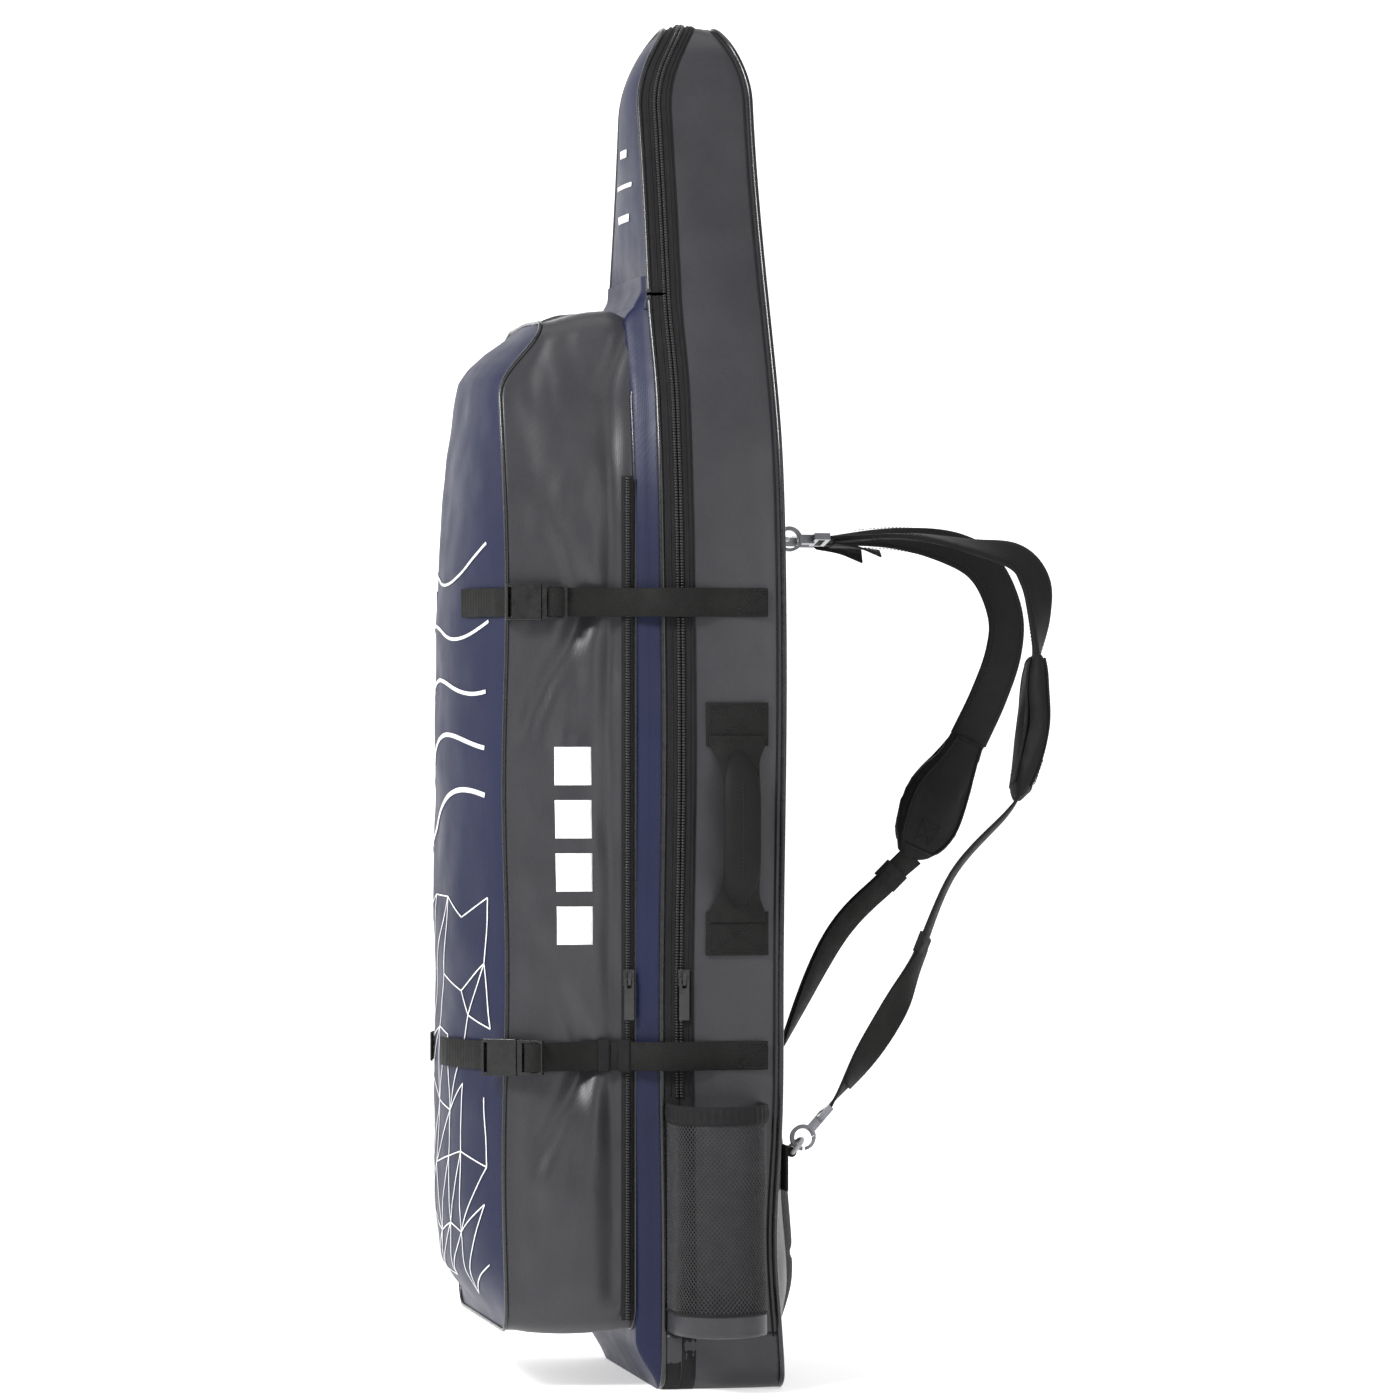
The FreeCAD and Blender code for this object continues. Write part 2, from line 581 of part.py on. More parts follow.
cup_top, band, bottle_floor = dim("bottle_cup_top"), dim("bottle_band"), dim("bottle_floor")
node(pocket_wall("bottle_pocket_mesh", cup_top, band, dim("bottle_wall")), "bottle_pocket_mesh")
node(pocket_wall("bottle_pocket_band", band, dim("bottle_top"), dim("bottle_wall") + 1), "bottle_pocket_band")
cup_wall = pocket_wall("bottle_cup_wall", bottle_floor, cup_top, dim("bottle_wall"))
cup_floor = padded("bottle_cup_floor", "XY_Plane",
                   [(HALF + 0.1, B_Y - B_R), (B_OUT, B_Y - B_R, ("DistanceX", B_OUT), (B_OUT + B_R, B_Y)),
                    (B_OUT, B_Y + B_R),
                    (HALF + 0.1, B_Y + B_R)], bottle_floor, bottle_floor + 3)
node(joined("bottle_pocket_base", cup_wall, cup_floor), "bottle_pocket_base")

# ---- rings and their tabs on the back

R_RING, R_WIRE = float(dim("ring_radius")), float(dim("ring_wire"))
BAR_Y = float(BACK + dim("ring_stand_off"))
TILT = float(dim("lower_ring_tilt"))
RINGS = {}
for level, tilt in (("upper", 0.0), ("lower", TILT)):
    for side, sign in SIDES:
        x, z = float(dim(f"{level}_ring_offset")) * sign, float(dim(f"{level}_ring_height"))
        RINGS[level, side] = Vector(x, BAR_Y, z), tilt


def ring_shape():
    """A D-ring: a straight bar along X, and a half round of the same wire towards +Y."""
    bow = Part.makeTorus(R_RING, R_WIRE, Vector(0, 0, 0), Vector(0, 0, 1), -180, 180, 180)
    bar = Part.makeCylinder(R_WIRE, 2 * R_RING, Vector(-R_RING, 0, 0), Vector(1, 0, 0))
    knuckles = [Part.makeSphere(R_WIRE, Vector(x, 0, 0)) for x in (-R_RING, R_RING)]
    return bow.fuse([bar] + knuckles).removeSplitter()


def tab_shape(place):
    """A folded tab of webbing round the bar, sewn down on the back panel."""
    tube = Part.makeCylinder(4.4, 20, place - Vector(10, 0, 0), Vector(1, 0, 0))
    hole = Part.makeCylinder(R_WIRE + 0.4, 22, place - Vector(11, 0, 0), Vector(1, 0, 0))
    flat = box_shape((place.x - 12, float(BACK), place.z - 34), (place.x + 12, float(BACK) + 2.6, place.z + 6))
    return tube.fuse(flat).cut(hole)


for level in ("upper", "lower"):
    tabs = [tab_shape(RINGS[level, side][0]) for side, _ in SIDES]
    node(feature(f"ring_tabs_{level}", Part.makeCompound(tabs)), f"ring_tabs_{level}")
    for side, _ in SIDES:
        place, tilt = RINGS[level, side]
        spot = Placement(place, Rotation(Vector(1, 0, 0), tilt))
        node(feature(f"d_ring_{level}_{side}", ring_shape(), spot), f"d_ring_{level}_{side}")

# ---- shoulder straps: each is laid out in the plane of its two rings, across (+Y) and along (+Z) from the
# point where the upper hook holds its ring

EYE, EYE_WALL, EYE_WIDE = (float(dim(n)) for n in ("eye_radius", "eye_thickness", "eye_width"))
HOOK = float(dim("hook_length"))
EYE_SHIFT = EYE - R_WIRE - 4.2
GATE_PIVOT, GATE_TIP, NOSE = -50, -128, -143


def held_point(level, side):
    """The middle of the wire, where the hook holds the ring."""
    place, tilt = RINGS[level, side]
    angle = math.radians(tilt)
    return place + Vector(0, R_RING * math.cos(angle), R_RING * math.sin(angle))


def strap_placement(side):
    top, low = held_point("upper", side), held_point("lower", side)
    along = (top - low).normalize()
    wide = Vector(0, 1, 0).cross(along).normalize()
    return Placement(top, Rotation(wide, along.cross(wide), along, "ZXY")), (top - low).Length


def polar(radius, angle):
    return Vector(0, EYE_SHIFT + radius * math.cos(math.radians(angle)), radius * math.sin(math.radians(angle)))


def wedge(radius, first, last, width):
    """A sector of the eye, between two angles, as a prism."""
    steps = 4
    points = [polar(0, 0)] + [polar(radius, first + (last - first) * i / steps) for i in range(steps + 1)]
    face = Part.Face(Part.makePolygon(points + points[:1]))
    face.translate(Vector(-width / 2, 0, 0))
    return face.extrude(Vector(width, 0, 0))


def disc(radius, centre, width):
    return Part.makeCylinder(radius, width, centre - Vector(width / 2, 0, 0), Vector(1, 0, 0))


PIVOT_POINT = polar(EYE + EYE_WALL / 2, GATE_PIVOT)


def hook_shape():
    """An open eye, its shank and a frame with a slot for the webbing, pointing along +Y."""
    centre = polar(0, 0)
    eye = disc(EYE + EYE_WALL, centre, EYE_WIDE).cut(disc(EYE, centre, EYE_WIDE + 2))
    eye = eye.cut(wedge(20, NOSE, GATE_PIVOT, EYE_WIDE + 2)).cut(disc(2.2, PIVOT_POINT, EYE_WIDE + 2))
    neck = box_shape((-3, EYE_SHIFT + EYE + 1, -4), (3, 24, 4))
    frame = box_shape((-16, 22, -3), (16, HOOK, 3)).cut(box_shape((-13.2, 26, -4), (13.2, 32, 4)))
    return eye.fuse([neck, frame]).removeSplitter()


def gate_shape():
    """The sprung gate that closes the eye, on a round pivot end."""
    centre, width = polar(0, 0), EYE_WIDE - 0.8
    band = disc(EYE + EYE_WALL - 0.4, centre, width).cut(disc(EYE + 0.2, centre, width + 2))
    return band.common(wedge(20, GATE_TIP, GATE_PIVOT, width)).fuse(disc(1.7, PIVOT_POINT, width))


def strip_solid(points, thickness, width):
    """A strip of webbing or padding along a line in the strap's plane, of an even width."""
    outline = [Vector(-width / 2, u, v) for u, v in ribbon(points, thickness)]
    return Part.Face(Part.makePolygon(outline + outline[:1])).extrude(Vector(width, 0, 0))


# the right-hand strap hangs slacker than the left, whose pad has slid lower
STRAP_LINES = {
    "right": {"upper": [(37, 0), (110, 4), (169, -5), (208, -14), (224, -34), (227, -64), (223, -108)],
              "pad": [(222, -110), (219, -168), (207, -226)],
              "lower": [(205, -229), (192, -246), (142, -300), (106, -378), (78, -432)],
              "hook_angle": 48},
    "left": {"upper": [(37, 0), (110, 4), (168, -5), (200, -25), (219, -64), (219, -100), (207, -140), (190, -180)],
             "pad": [(189, -182), (165, -228), (145, -284)],
             "lower": [(143, -287), (120, -310), (70, -368)],
             "hook_angle": 70},
}

for side, sign in SIDES:
    place, length = strap_placement(side)
    lines = STRAP_LINES[side]
    turn = Placement(Vector(0, 0, -length), Rotation(Vector(1, 0, 0), lines["hook_angle"]))
    for level, spot in (("upper", Placement()), ("lower", turn)):
        for name, shape in (("strap_hook", hook_shape()), ("hook_gate", gate_shape())):
            label = f"{name}_{level}_{side}"
            node(feature(label, shape, place.multiply(spot)), label)
    end = turn.multVec(Vector(0, HOOK + 1, 0))
    parts = (("upper_strap", lines["upper"], float(dim("strap_thickness")), float(dim("strap_width"))),
             ("shoulder_pad", lines["pad"], float(dim("pad_thickness")), float(dim("pad_width"))),
             ("lower_webbing", lines["lower"] + [(end.y, end.z)], float(dim("lower_webbing_thickness")),
              float(WEBBING)))
    for name, line, thickness, width in parts:
        node(feature(f"{name}_{side}", strip_solid(line, thickness, width), place), f"{name}_{side}")

# ---- check every object, then write the sub-parts

doc.recompute()
for thing in doc.Objects:
    if {"Invalid", "Error"} & set(thing.State):
        raise RuntimeError(f"{thing.Label} failed to compute: {thing.State}")
for label, thing in nodes.items():
    if thing.Shape.isNull() or not thing.Shape.isValid() or thing.Shape.Volume <= 0:
        raise RuntimeError(f"{label} has no valid solid")
os.makedirs("parts", exist_ok=True)
for label, thing in nodes.items():
    thing.Shape.exportStep(os.path.join("parts", f"{label}.step"))
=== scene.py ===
import bisect
import json
import math
import random

import bmesh
import bpy
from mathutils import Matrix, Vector, noise


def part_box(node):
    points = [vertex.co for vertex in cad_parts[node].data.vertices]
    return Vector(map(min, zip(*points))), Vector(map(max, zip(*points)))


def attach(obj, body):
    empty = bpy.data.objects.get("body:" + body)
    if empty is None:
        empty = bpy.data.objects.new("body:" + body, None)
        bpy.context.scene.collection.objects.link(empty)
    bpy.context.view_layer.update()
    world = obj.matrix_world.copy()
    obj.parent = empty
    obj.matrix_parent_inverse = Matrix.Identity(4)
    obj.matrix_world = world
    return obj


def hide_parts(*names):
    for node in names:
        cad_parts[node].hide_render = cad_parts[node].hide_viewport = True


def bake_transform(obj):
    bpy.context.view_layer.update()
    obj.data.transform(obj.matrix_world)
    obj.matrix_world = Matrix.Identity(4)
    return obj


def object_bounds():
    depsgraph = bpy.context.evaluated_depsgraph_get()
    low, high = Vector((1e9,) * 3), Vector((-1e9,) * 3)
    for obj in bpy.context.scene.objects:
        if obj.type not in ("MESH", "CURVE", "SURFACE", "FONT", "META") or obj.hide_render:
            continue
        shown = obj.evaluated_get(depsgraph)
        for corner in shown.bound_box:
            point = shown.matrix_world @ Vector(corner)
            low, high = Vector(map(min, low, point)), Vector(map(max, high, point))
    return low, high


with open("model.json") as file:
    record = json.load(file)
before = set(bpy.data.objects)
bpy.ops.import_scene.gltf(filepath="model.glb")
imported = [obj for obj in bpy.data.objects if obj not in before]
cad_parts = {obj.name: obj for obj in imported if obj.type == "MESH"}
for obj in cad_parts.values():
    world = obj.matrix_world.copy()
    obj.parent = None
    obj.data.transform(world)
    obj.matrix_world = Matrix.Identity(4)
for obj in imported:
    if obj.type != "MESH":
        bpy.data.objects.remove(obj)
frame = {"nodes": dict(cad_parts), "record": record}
CAD_BOX = [list(corner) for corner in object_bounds()]

MM = 0.001
SIDES = (("right", 1), ("left", -1))
BODIES = frame["record"]["behaviour"]["bodies"]
JOINTS = {joint["name"]: joint for joint in frame["record"]["behaviour"]["joints"]}

# ---- places and sizes, all from the frame

GUSSET_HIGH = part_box("right_gusset")[1]
HALF, DEPTH, SHOULDER = GUSSET_HIGH.x, GUSSET_HIGH.y, GUSSET_HIGH.z
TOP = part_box("top_gusset")[1].z
FLAP = JOINTS["front_flap_open"]["pos_m"][2]
P_HALF, P_EDGE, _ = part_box("pocket_front_panel")[1]
(_, _, P_BOTTOM), (_, P_REAR, P_TOP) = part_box("pocket_gusset_right")
LEVELS = ("upper", "lower")
STRAP_HEIGHTS = [sum(corner.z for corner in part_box(f"male_buckle_{level}_right")) / 2 for level in LEVELS]
TAPER = math.radians(18)
CORNER = 18 * MM
TAPE_WIDTH = 25 * MM
ZIP_SETBACK = 15 * MM
BASE_WRAP = 46 * MM
CLOTH = 2 * MM
STRAP_WIDTH, STRAP_THICK = 25 * MM, 1.9 * MM
PRINT_THICK, PRINT_LIFT = 0.3 * MM, 0.5 * MM
OUT_X, ALONG_Y, UP = Vector((1, 0, 0)), Vector((0, 1, 0)), Vector((0, 0, 1))


def mix(a, b, t):
    return a + (b - a) * t


def smooth(t):
    t = min(max(t, 0.0), 1.0)
    return t * t * (3 - 2 * t)


def bump(value, centre, width):
    """A soft bump of height 1 at the centre that dies away over about the width."""
    return math.exp(-((value - centre) / width) ** 2)


def spline(points, t):
    """A point on a Catmull-Rom curve through the points, for t from 0 to 1."""
    points = [Vector(p) for p in points]
    span = min(max(t, 0.0), 1.0) * (len(points) - 1)
    i = min(int(span), len(points) - 2)
    f = span - i
    p1, p2 = points[i], points[i + 1]
    p0 = points[i - 1] if i > 0 else p1 * 2 - p2
    p3 = points[i + 2] if i + 2 < len(points) else p2 * 2 - p1
    return 0.5 * ((2 * p1) + (p2 - p0) * f + (2 * p0 - 5 * p1 + 4 * p2 - p3) * f * f
                  + (3 * p1 - 3 * p2 + p3 - p0) * f * f * f)


def rumple(point, size, seed):
    """Smooth noise between about -1 and 1, with features of about the given size."""
    return noise.noise(Vector(point) / size + Vector((seed * 7.3, seed * 3.1, seed * 5.7)))


# ---- the bag's front outline: from the middle of the base, round the corner, up, and over the nose

def outline_points():
    """The right half of the outline as (x, z, outward x, outward z), from the base's middle to the crown."""
    slope, cos, sin = math.tan(TAPER), math.cos(TAPER), math.sin(TAPER)
    radius = (HALF * cos + (SHOULDER - TOP) * sin) / (1 - sin)
    centre = TOP - radius
    knee = 25 * MM
    line = [(x * (HALF - CORNER) / 20, 0.0) for x in range(20)]
    line += [(HALF - CORNER + CORNER * math.sin(a), CORNER - CORNER * math.cos(a))
             for a in (math.pi / 2 * i / 8 for i in range(9))]
    end = centre + radius * sin
    steps = 220
    for i in range(1, steps + 1):
        z = mix(CORNER, end, i / steps)
        lean = slope * knee * math.log(1 + math.exp((z - SHOULDER) / knee))
        line.append((HALF - lean, z))
    line += [(radius * math.cos(a), centre + radius * math.sin(a))
             for a in (mix(TAPER, math.pi / 2, i / 14) for i in range(1, 15))]
    return line


def measured(line):
    """How far along a line each of its points is."""
    places = [0.0]
    for before, after in zip(line, line[1:]):
        places.append(places[-1] + math.dist(before, after))
    return places


def point_along(line, places, d, side=1):
    """A line's point and outward direction, at a distance along it; side -1 mirrors them to the left."""
    d = min(max(d, 0.0), places[-1])
    low = bisect.bisect_right(places, d, 1, len(places) - 1) - 1
    f = (d - places[low]) / max(places[low + 1] - places[low], 1e-9)
    a, b = line[low], line[low + 1]
    ahead, behind = line[min(low + 2, len(line) - 1)], line[max(low - 1, 0)]
    along = Vector((ahead[0] - behind[0], ahead[1] - behind[1])).normalized()
    return Vector((mix(a[0], b[0], f) * side, mix(a[1], b[1], f))), Vector((along.y * side, -along.x))


HALF_LINE = outline_points()
DISTANCE = measured(HALF_LINE)
LENGTH = DISTANCE[-1]


def outline(d, side=1):
    """The outline's point and outward direction, at a distance along it from the middle of the base."""
    return point_along(HALF_LINE, DISTANCE, d, side)


def distance_at(z):
    """How far along the outline it reaches a height."""
    for i, point in enumerate(HALF_LINE):
        if point[1] >= z and DISTANCE[i] > HALF:
            a, b = HALF_LINE[i - 1], point
            return mix(DISTANCE[i - 1], DISTANCE[i], (z - a[1]) / max(b[1] - a[1], 1e-9))
    return LENGTH


def front_edge(z):
    """How far forward the front piping runs at a height: it leans back over the crown."""
    lean = max(z - 1.12, 0) / (TOP - 1.12)
    wave = 1.2 * MM * math.sin(z * 13 + 0.5)
    return -DEPTH - 4 * MM * smooth((z - 0.86) / 0.1) + 31 * MM * lean ** 2 + wave


def rear_edge(z):
    lean = max(z - 1.13, 0) / (TOP - 1.13)
    wave = 1.4 * MM * math.sin(z * 11 + 1.0)
    return (DEPTH - 10 * MM * smooth((z - 0.82) / 0.3) - 26 * MM * lean ** 2
            - 8 * MM * bump(z, 0.125, 0.09) + wave)


# ---- mesh helpers

def main_core(point):
    """A place well inside the main compartment, at a point's height."""
    return Vector((0, 0, min(max(point.z, 0.1), 1.1)))


def pocket_core(point):
    """A place well inside the front pocket, at a point's height."""
    return Vector((0, -0.13, min(max(point.z, 0.12), 0.85)))


def turn_outward(mesh, core):
    """Faces every face outward: away from the core, or by the closed form where there is none."""
    work = bmesh.new()
    work.from_mesh(mesh)
    if core is None:
        bmesh.ops.recalc_face_normals(work, faces=work.faces)
    else:
        work.normal_update()
        inward = sum(f.calc_area() * (1 if f.normal.dot(f.calc_center_median() - core(f.calc_center_median())) < 0
                                      else -1) for f in work.faces)
        if inward > 0:
            bmesh.ops.reverse_faces(work, faces=work.faces)
    work.to_mesh(mesh)
    work.free()


def make(name, verts, faces, material, body="bag", flat=False, core=None):
    mesh = bpy.data.meshes.new(name)
    mesh.from_pydata([tuple(v) for v in verts], [], faces)
    turn_outward(mesh, core)
    mesh.materials.append(material)
    for polygon in mesh.polygons:
        polygon.use_smooth = not flat
    mesh.validate()
    piece = bpy.data.objects.new(name, mesh)
    bpy.context.scene.collection.objects.link(piece)
    if body:
        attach(piece, body)
    return piece


def thicken(piece, thickness, offset=-1):
    wall = piece.modifiers.new("wall", "SOLIDIFY")
    wall.thickness, wall.offset = thickness, offset


def grid(name, across, along, place, material, body="bag", thickness=0.0, ring=False, core=main_core):
    """A surface from place(u, v), with u and v from 0 to 1; with ring, u closes on itself."""
    columns = across if ring else across + 1
    verts = [place(i / across, j / along) for j in range(along + 1) for i in range(columns)]
    faces = []
    for j in range(along):
        for i in range(across):
            k = (i + 1) % columns
            faces.append((j * columns + i, j * columns + k, (j + 1) * columns + k, (j + 1) * columns + i))
    piece = make(name, verts, faces, material, body, core=core)
    if thickness:
        thicken(piece, thickness)
    return piece


def tube(name, points, radius, material, body="bag", closed=False):
    """A round tube through the points."""
    count, sides = len(points), 8
    verts, faces = [], []
    for i, here in enumerate(points):
        ahead = points[(i + 1) % count] if closed or i < count - 1 else here
        behind = points[i - 1] if closed or i else here
        along = (ahead - behind).normalized()
        side = along.cross(Vector((0, 1, 0)))
        if side.length < 0.2:
            side = along.cross(Vector((1, 0, 0)))
        side.normalize()
        other = along.cross(side)
        for k in range(sides):
            angle = 2 * math.pi * k / sides
            verts.append(here + radius * (side * math.cos(angle) + other * math.sin(angle)))
    for i in range(count if closed else count - 1):
        a, b = i * sides, ((i + 1) % count) * sides
        faces += [(a + k, a + (k + 1) % sides, b + (k + 1) % sides, b + k) for k in range(sides)]
    if not closed:
        faces += [tuple(range(sides))[::-1], tuple(range((count - 1) * sides, count * sides))]
    return make(name, verts, faces, material, body)


def ribbon(name, points, wides, width, thickness, material, body="bag", steps=60):
    """A strap with rounded edges along a curve; wides give the direction of its width along the way, and width
    may be a list that changes along it."""
    widths = width if isinstance(width, (list, tuple)) else [width, width]
    verts, faces = [], []
    section = [(-1, -0.25), (-0.97, -0.5), (0, -0.5), (0.97, -0.5), (1, -0.25),
               (1, 0.25), (0.97, 0.5), (0, 0.5), (-0.97, 0.5), (-1, 0.25)]
    count = len(section)
    for i in range(steps + 1):
        t = i / steps
        here = spline(points, t)
        along = (spline(points, min(t + 0.01, 1)) - spline(points, max(t - 0.01, 0))).normalized()
        wide = spline(wides, t).normalized()
        wide = (wide - along * wide.dot(along)).normalized()
        out = along.cross(wide)
        half = spline([(w, 0, 0) for w in widths], t).x / 2
        verts += [here + wide * half * a + out * thickness * b for a, b in section]
    for i in range(steps):
        a, b = i * count, (i + 1) * count
        faces += [(a + k, b + k, b + (k + 1) % count, a + (k + 1) % count) for k in range(count)]
    faces += [tuple(range(count)), tuple(range(steps * count, (steps + 1) * count))[::-1]]
    return make(name, verts, faces, material, body)


def sweep(name, points, wides, widths, thicknesses, material, body="bag", steps=60, power=3.0, round_count=20):
    """A soft flattened tube along a curve, with its width and thickness changing along the way."""
    verts, faces = [], []
    for i in range(steps + 1):
        t = i / steps
        here = spline(points, t)
        along = (spline(points, min(t + 0.01, 1)) - spline(points, max(t - 0.01, 0))).normalized()
        wide = spline(wides, t).normalized()
        wide = (wide - along * wide.dot(along)).normalized()
        out = along.cross(wide)
        half_w = spline([(w, 0, 0) for w in widths], t).x / 2
        half_t = spline([(w, 0, 0) for w in thicknesses], t).x / 2
        for k in range(round_count):
            angle = 2 * math.pi * k / round_count
            c, s = math.cos(angle), math.sin(angle)
            flat = (abs(c) ** power + abs(s) ** power) ** (-1 / power)
            verts.append(here + wide * half_w * c * flat + out * half_t * s * flat)
    for i in range(steps):
        a, b = i * round_count, (i + 1) * round_count
        faces += [(a + k, a + (k + 1) % round_count, b + (k + 1) % round_count, b + k) for k in range(round_count)]
    faces += [tuple(range(round_count))[::-1], tuple(range(steps * round_count, (steps + 1) * round_count))]
    return make(name, verts, faces, material, body)


def stitch_row(points, out):
    """Short raised stitches along a line of points: their vertices and faces."""
    spacing, length, width = 3.4 * MM, 2.2 * MM, 0.7 * MM
    verts, faces = [], []
    lengths = measured(points)
    d, i = spacing / 2, 0
    while d < lengths[-1]:
        while lengths[i + 1] < d:
            i += 1
        a, b = points[i], points[i + 1]
        along = (b - a).normalized()
        here = a + along * (d - lengths[i])
        lift = out.normalized()
        side = along.cross(lift).normalized()
        base = len(verts)
        for s in (-1, 1):
            verts += [here + along * s * length / 2 + side * width / 2,
                      here + along * s * length * 0.3 + lift * width * 0.6,
                      here + along * s * length / 2 - side * width / 2,
                      here + along * s * length / 2 - lift * width * 0.5]
        faces += [(base, base + 1, base + 5, base + 4), (base + 1, base + 2, base + 6, base + 5),
                  (base + 2, base + 3, base + 7, base + 6), (base + 3, base, base + 4, base + 7),
                  (base + 3, base + 2, base + 1, base), (base + 4, base + 5, base + 6, base + 7)]
        d += spacing
    return verts, faces


def stitches(name, rows, material, body="bag"):
    """Several rows of stitches as one piece; a row is a list of points and the way it faces."""
    verts, faces = [], []
    for points, out in rows:
        more, quads = stitch_row(points, out)
        faces += [tuple(k + len(verts) for k in quad) for quad in quads]
        verts += more
    return make(name, verts, faces, material, body, flat=True)


def soften(node_name, name, material, bevel, segments=2):
    """A copy of a hard CAD piece with rounded edges, which stands for it."""
    source = frame["nodes"][node_name]
    mesh = source.data.copy()
    mesh.materials.clear()
    mesh.materials.append(material)
    piece = bpy.data.objects.new(name, mesh)
    bpy.context.scene.collection.objects.link(piece)
    owner = next(b for b, names in BODIES.items() if node_name in names)
    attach(piece, owner)
    work = bmesh.new()
    work.from_mesh(mesh)
    bmesh.ops.remove_doubles(work, verts=work.verts, dist=1e-6)
    bmesh.ops.dissolve_limit(work, angle_limit=math.radians(2), verts=work.verts, edges=work.edges)
    work.to_mesh(mesh)
    work.free()
    round_edges = piece.modifiers.new("round", "BEVEL")
    round_edges.width, round_edges.segments = bevel, segments
    round_edges.limit_method, round_edges.angle_limit = "ANGLE", math.radians(30)
    for polygon in mesh.polygons:
        polygon.use_smooth = True
    normals = piece.modifiers.new("normals", "WEIGHTED_NORMAL")
    normals.keep_sharp = False
    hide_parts(node_name)
    return piece


def inflate(piece):
    """Fills a padded piece by a short cloth simulation, and applies the result."""
    voxel, pressure, cap = 5 * MM, 4.0, 6 * MM
    depsgraph = bpy.context.evaluated_depsgraph_get()
    remesh = piece.modifiers.new("remesh", "REMESH")
    remesh.mode, remesh.voxel_size = "VOXEL", voxel
    depsgraph.update()
    mesh = bpy.data.meshes.new_from_object(piece.evaluated_get(bpy.context.evaluated_depsgraph_get()))
    piece.modifiers.clear()
    piece.data = mesh
    rest = [v.co.copy() for v in mesh.vertices]
    cloth = piece.modifiers.new("cloth", "CLOTH")
    cloth.settings.use_pressure = True
    cloth.settings.uniform_pressure_force = pressure
    cloth.settings.effector_weights.gravity = 0
    cloth.settings.quality = 4
    scene = bpy.context.scene
    for step in range(1, 21):
        scene.frame_set(step)
    done = piece.evaluated_get(bpy.context.evaluated_depsgraph_get()).data
    moved = [v.co.copy() for v in done.vertices]
    piece.modifiers.clear()
    for vertex, start, end in zip(mesh.vertices, rest, moved):
        step = end - start
        vertex.co = start + (step if step.length < cap else step.normalized() * cap)
    scene.frame_set(1)
    for polygon in piece.data.polygons:
        polygon.use_smooth = True
    finer = piece.modifiers.new("finer", "SUBSURF")
    finer.levels = finer.render_levels = 1
    return piece


# ---- materials

def material(name, colour, roughness, specular, sheen=0.0, coat=0.0):
    """A Principled material; returns it with its node tree's parts for the detail to be added to."""
    made = bpy.data.materials.new(name)
    made.use_nodes = True
    tree = made.node_tree
    shader = tree.nodes["Principled BSDF"]
    shader.inputs["Base Color"].default_value = (*colour, 1)
    shader.inputs["Roughness"].default_value = roughness
    shader.inputs["Specular IOR Level"].default_value = specular
    shader.inputs["Sheen Weight"].default_value = sheen
    shader.inputs["Coat Weight"].default_value = coat
    return made, tree, shader


def position(tree):
    """Texture coordinates in metres, in the object's own frame."""
    return tree.nodes.new("ShaderNodeTexCoord").outputs["Object"]


def noise_node(tree, size, detail):
    node = tree.nodes.new("ShaderNodeTexNoise")
    node.inputs["Scale"].default_value = 1 / size
    node.inputs["Detail"].default_value = detail
    node.inputs["Roughness"].default_value = 0.55
    tree.links.new(position(tree), node.inputs["Vector"])
    return node.outputs["Fac"]


def wave_node(tree, period, direction, distortion=0.0):
    node = tree.nodes.new("ShaderNodeTexWave")
    node.bands_direction = direction
    node.inputs["Scale"].default_value = 0.314159 / period
    node.inputs["Distortion"].default_value = distortion
    tree.links.new(position(tree), node.inputs["Vector"])
    return node.outputs["Fac"]


def blend_node(tree, operation, a, b):
    node = tree.nodes.new("ShaderNodeMath")
    node.operation = operation
    for socket, value in zip(node.inputs, (a, b)):
        if isinstance(value, (int, float)):
            socket.default_value = value
        else:
            tree.links.new(value, socket)
    return node.outputs[0]


def tint(tree, shader, fac, dark, light, low=0.3, high=0.7):
    """Colours the surface between two colours by a factor."""
    ramp = tree.nodes.new("ShaderNodeValToRGB")
    ramp.color_ramp.elements[0].position, ramp.color_ramp.elements[1].position = low, high
    ramp.color_ramp.elements[0].color = (*dark, 1)
    ramp.color_ramp.elements[1].color = (*light, 1)
    tree.links.new(fac, ramp.inputs["Fac"])
    tree.links.new(ramp.outputs["Color"], shader.inputs["Base Color"])


def spread(tree, shader, fac, low, high):
    """Varies the roughness between two values by a factor."""
    node = tree.nodes.new("ShaderNodeMapRange")
    node.inputs["From Min"].default_value, node.inputs["From Max"].default_value = 0.3, 0.7
    node.inputs["To Min"].default_value, node.inputs["To Max"].default_value = low, high
    tree.links.new(fac, node.inputs["Value"])
    tree.links.new(node.outputs["Result"], shader.inputs["Roughness"])


def relief(tree, shader, height, depth, strength, under=None):
    node = tree.nodes.new("ShaderNodeBump")
    node.inputs["Strength"].default_value = strength
    node.inputs["Distance"].default_value = depth
    tree.links.new(height, node.inputs["Height"])
    if under:
        tree.links.new(under, node.inputs["Normal"])
    tree.links.new(node.outputs["Normal"], shader.inputs["Normal"])
    return node.outputs["Normal"]


def scaled(colour, factor):
    return tuple(min(c * factor, 1) for c in colour)


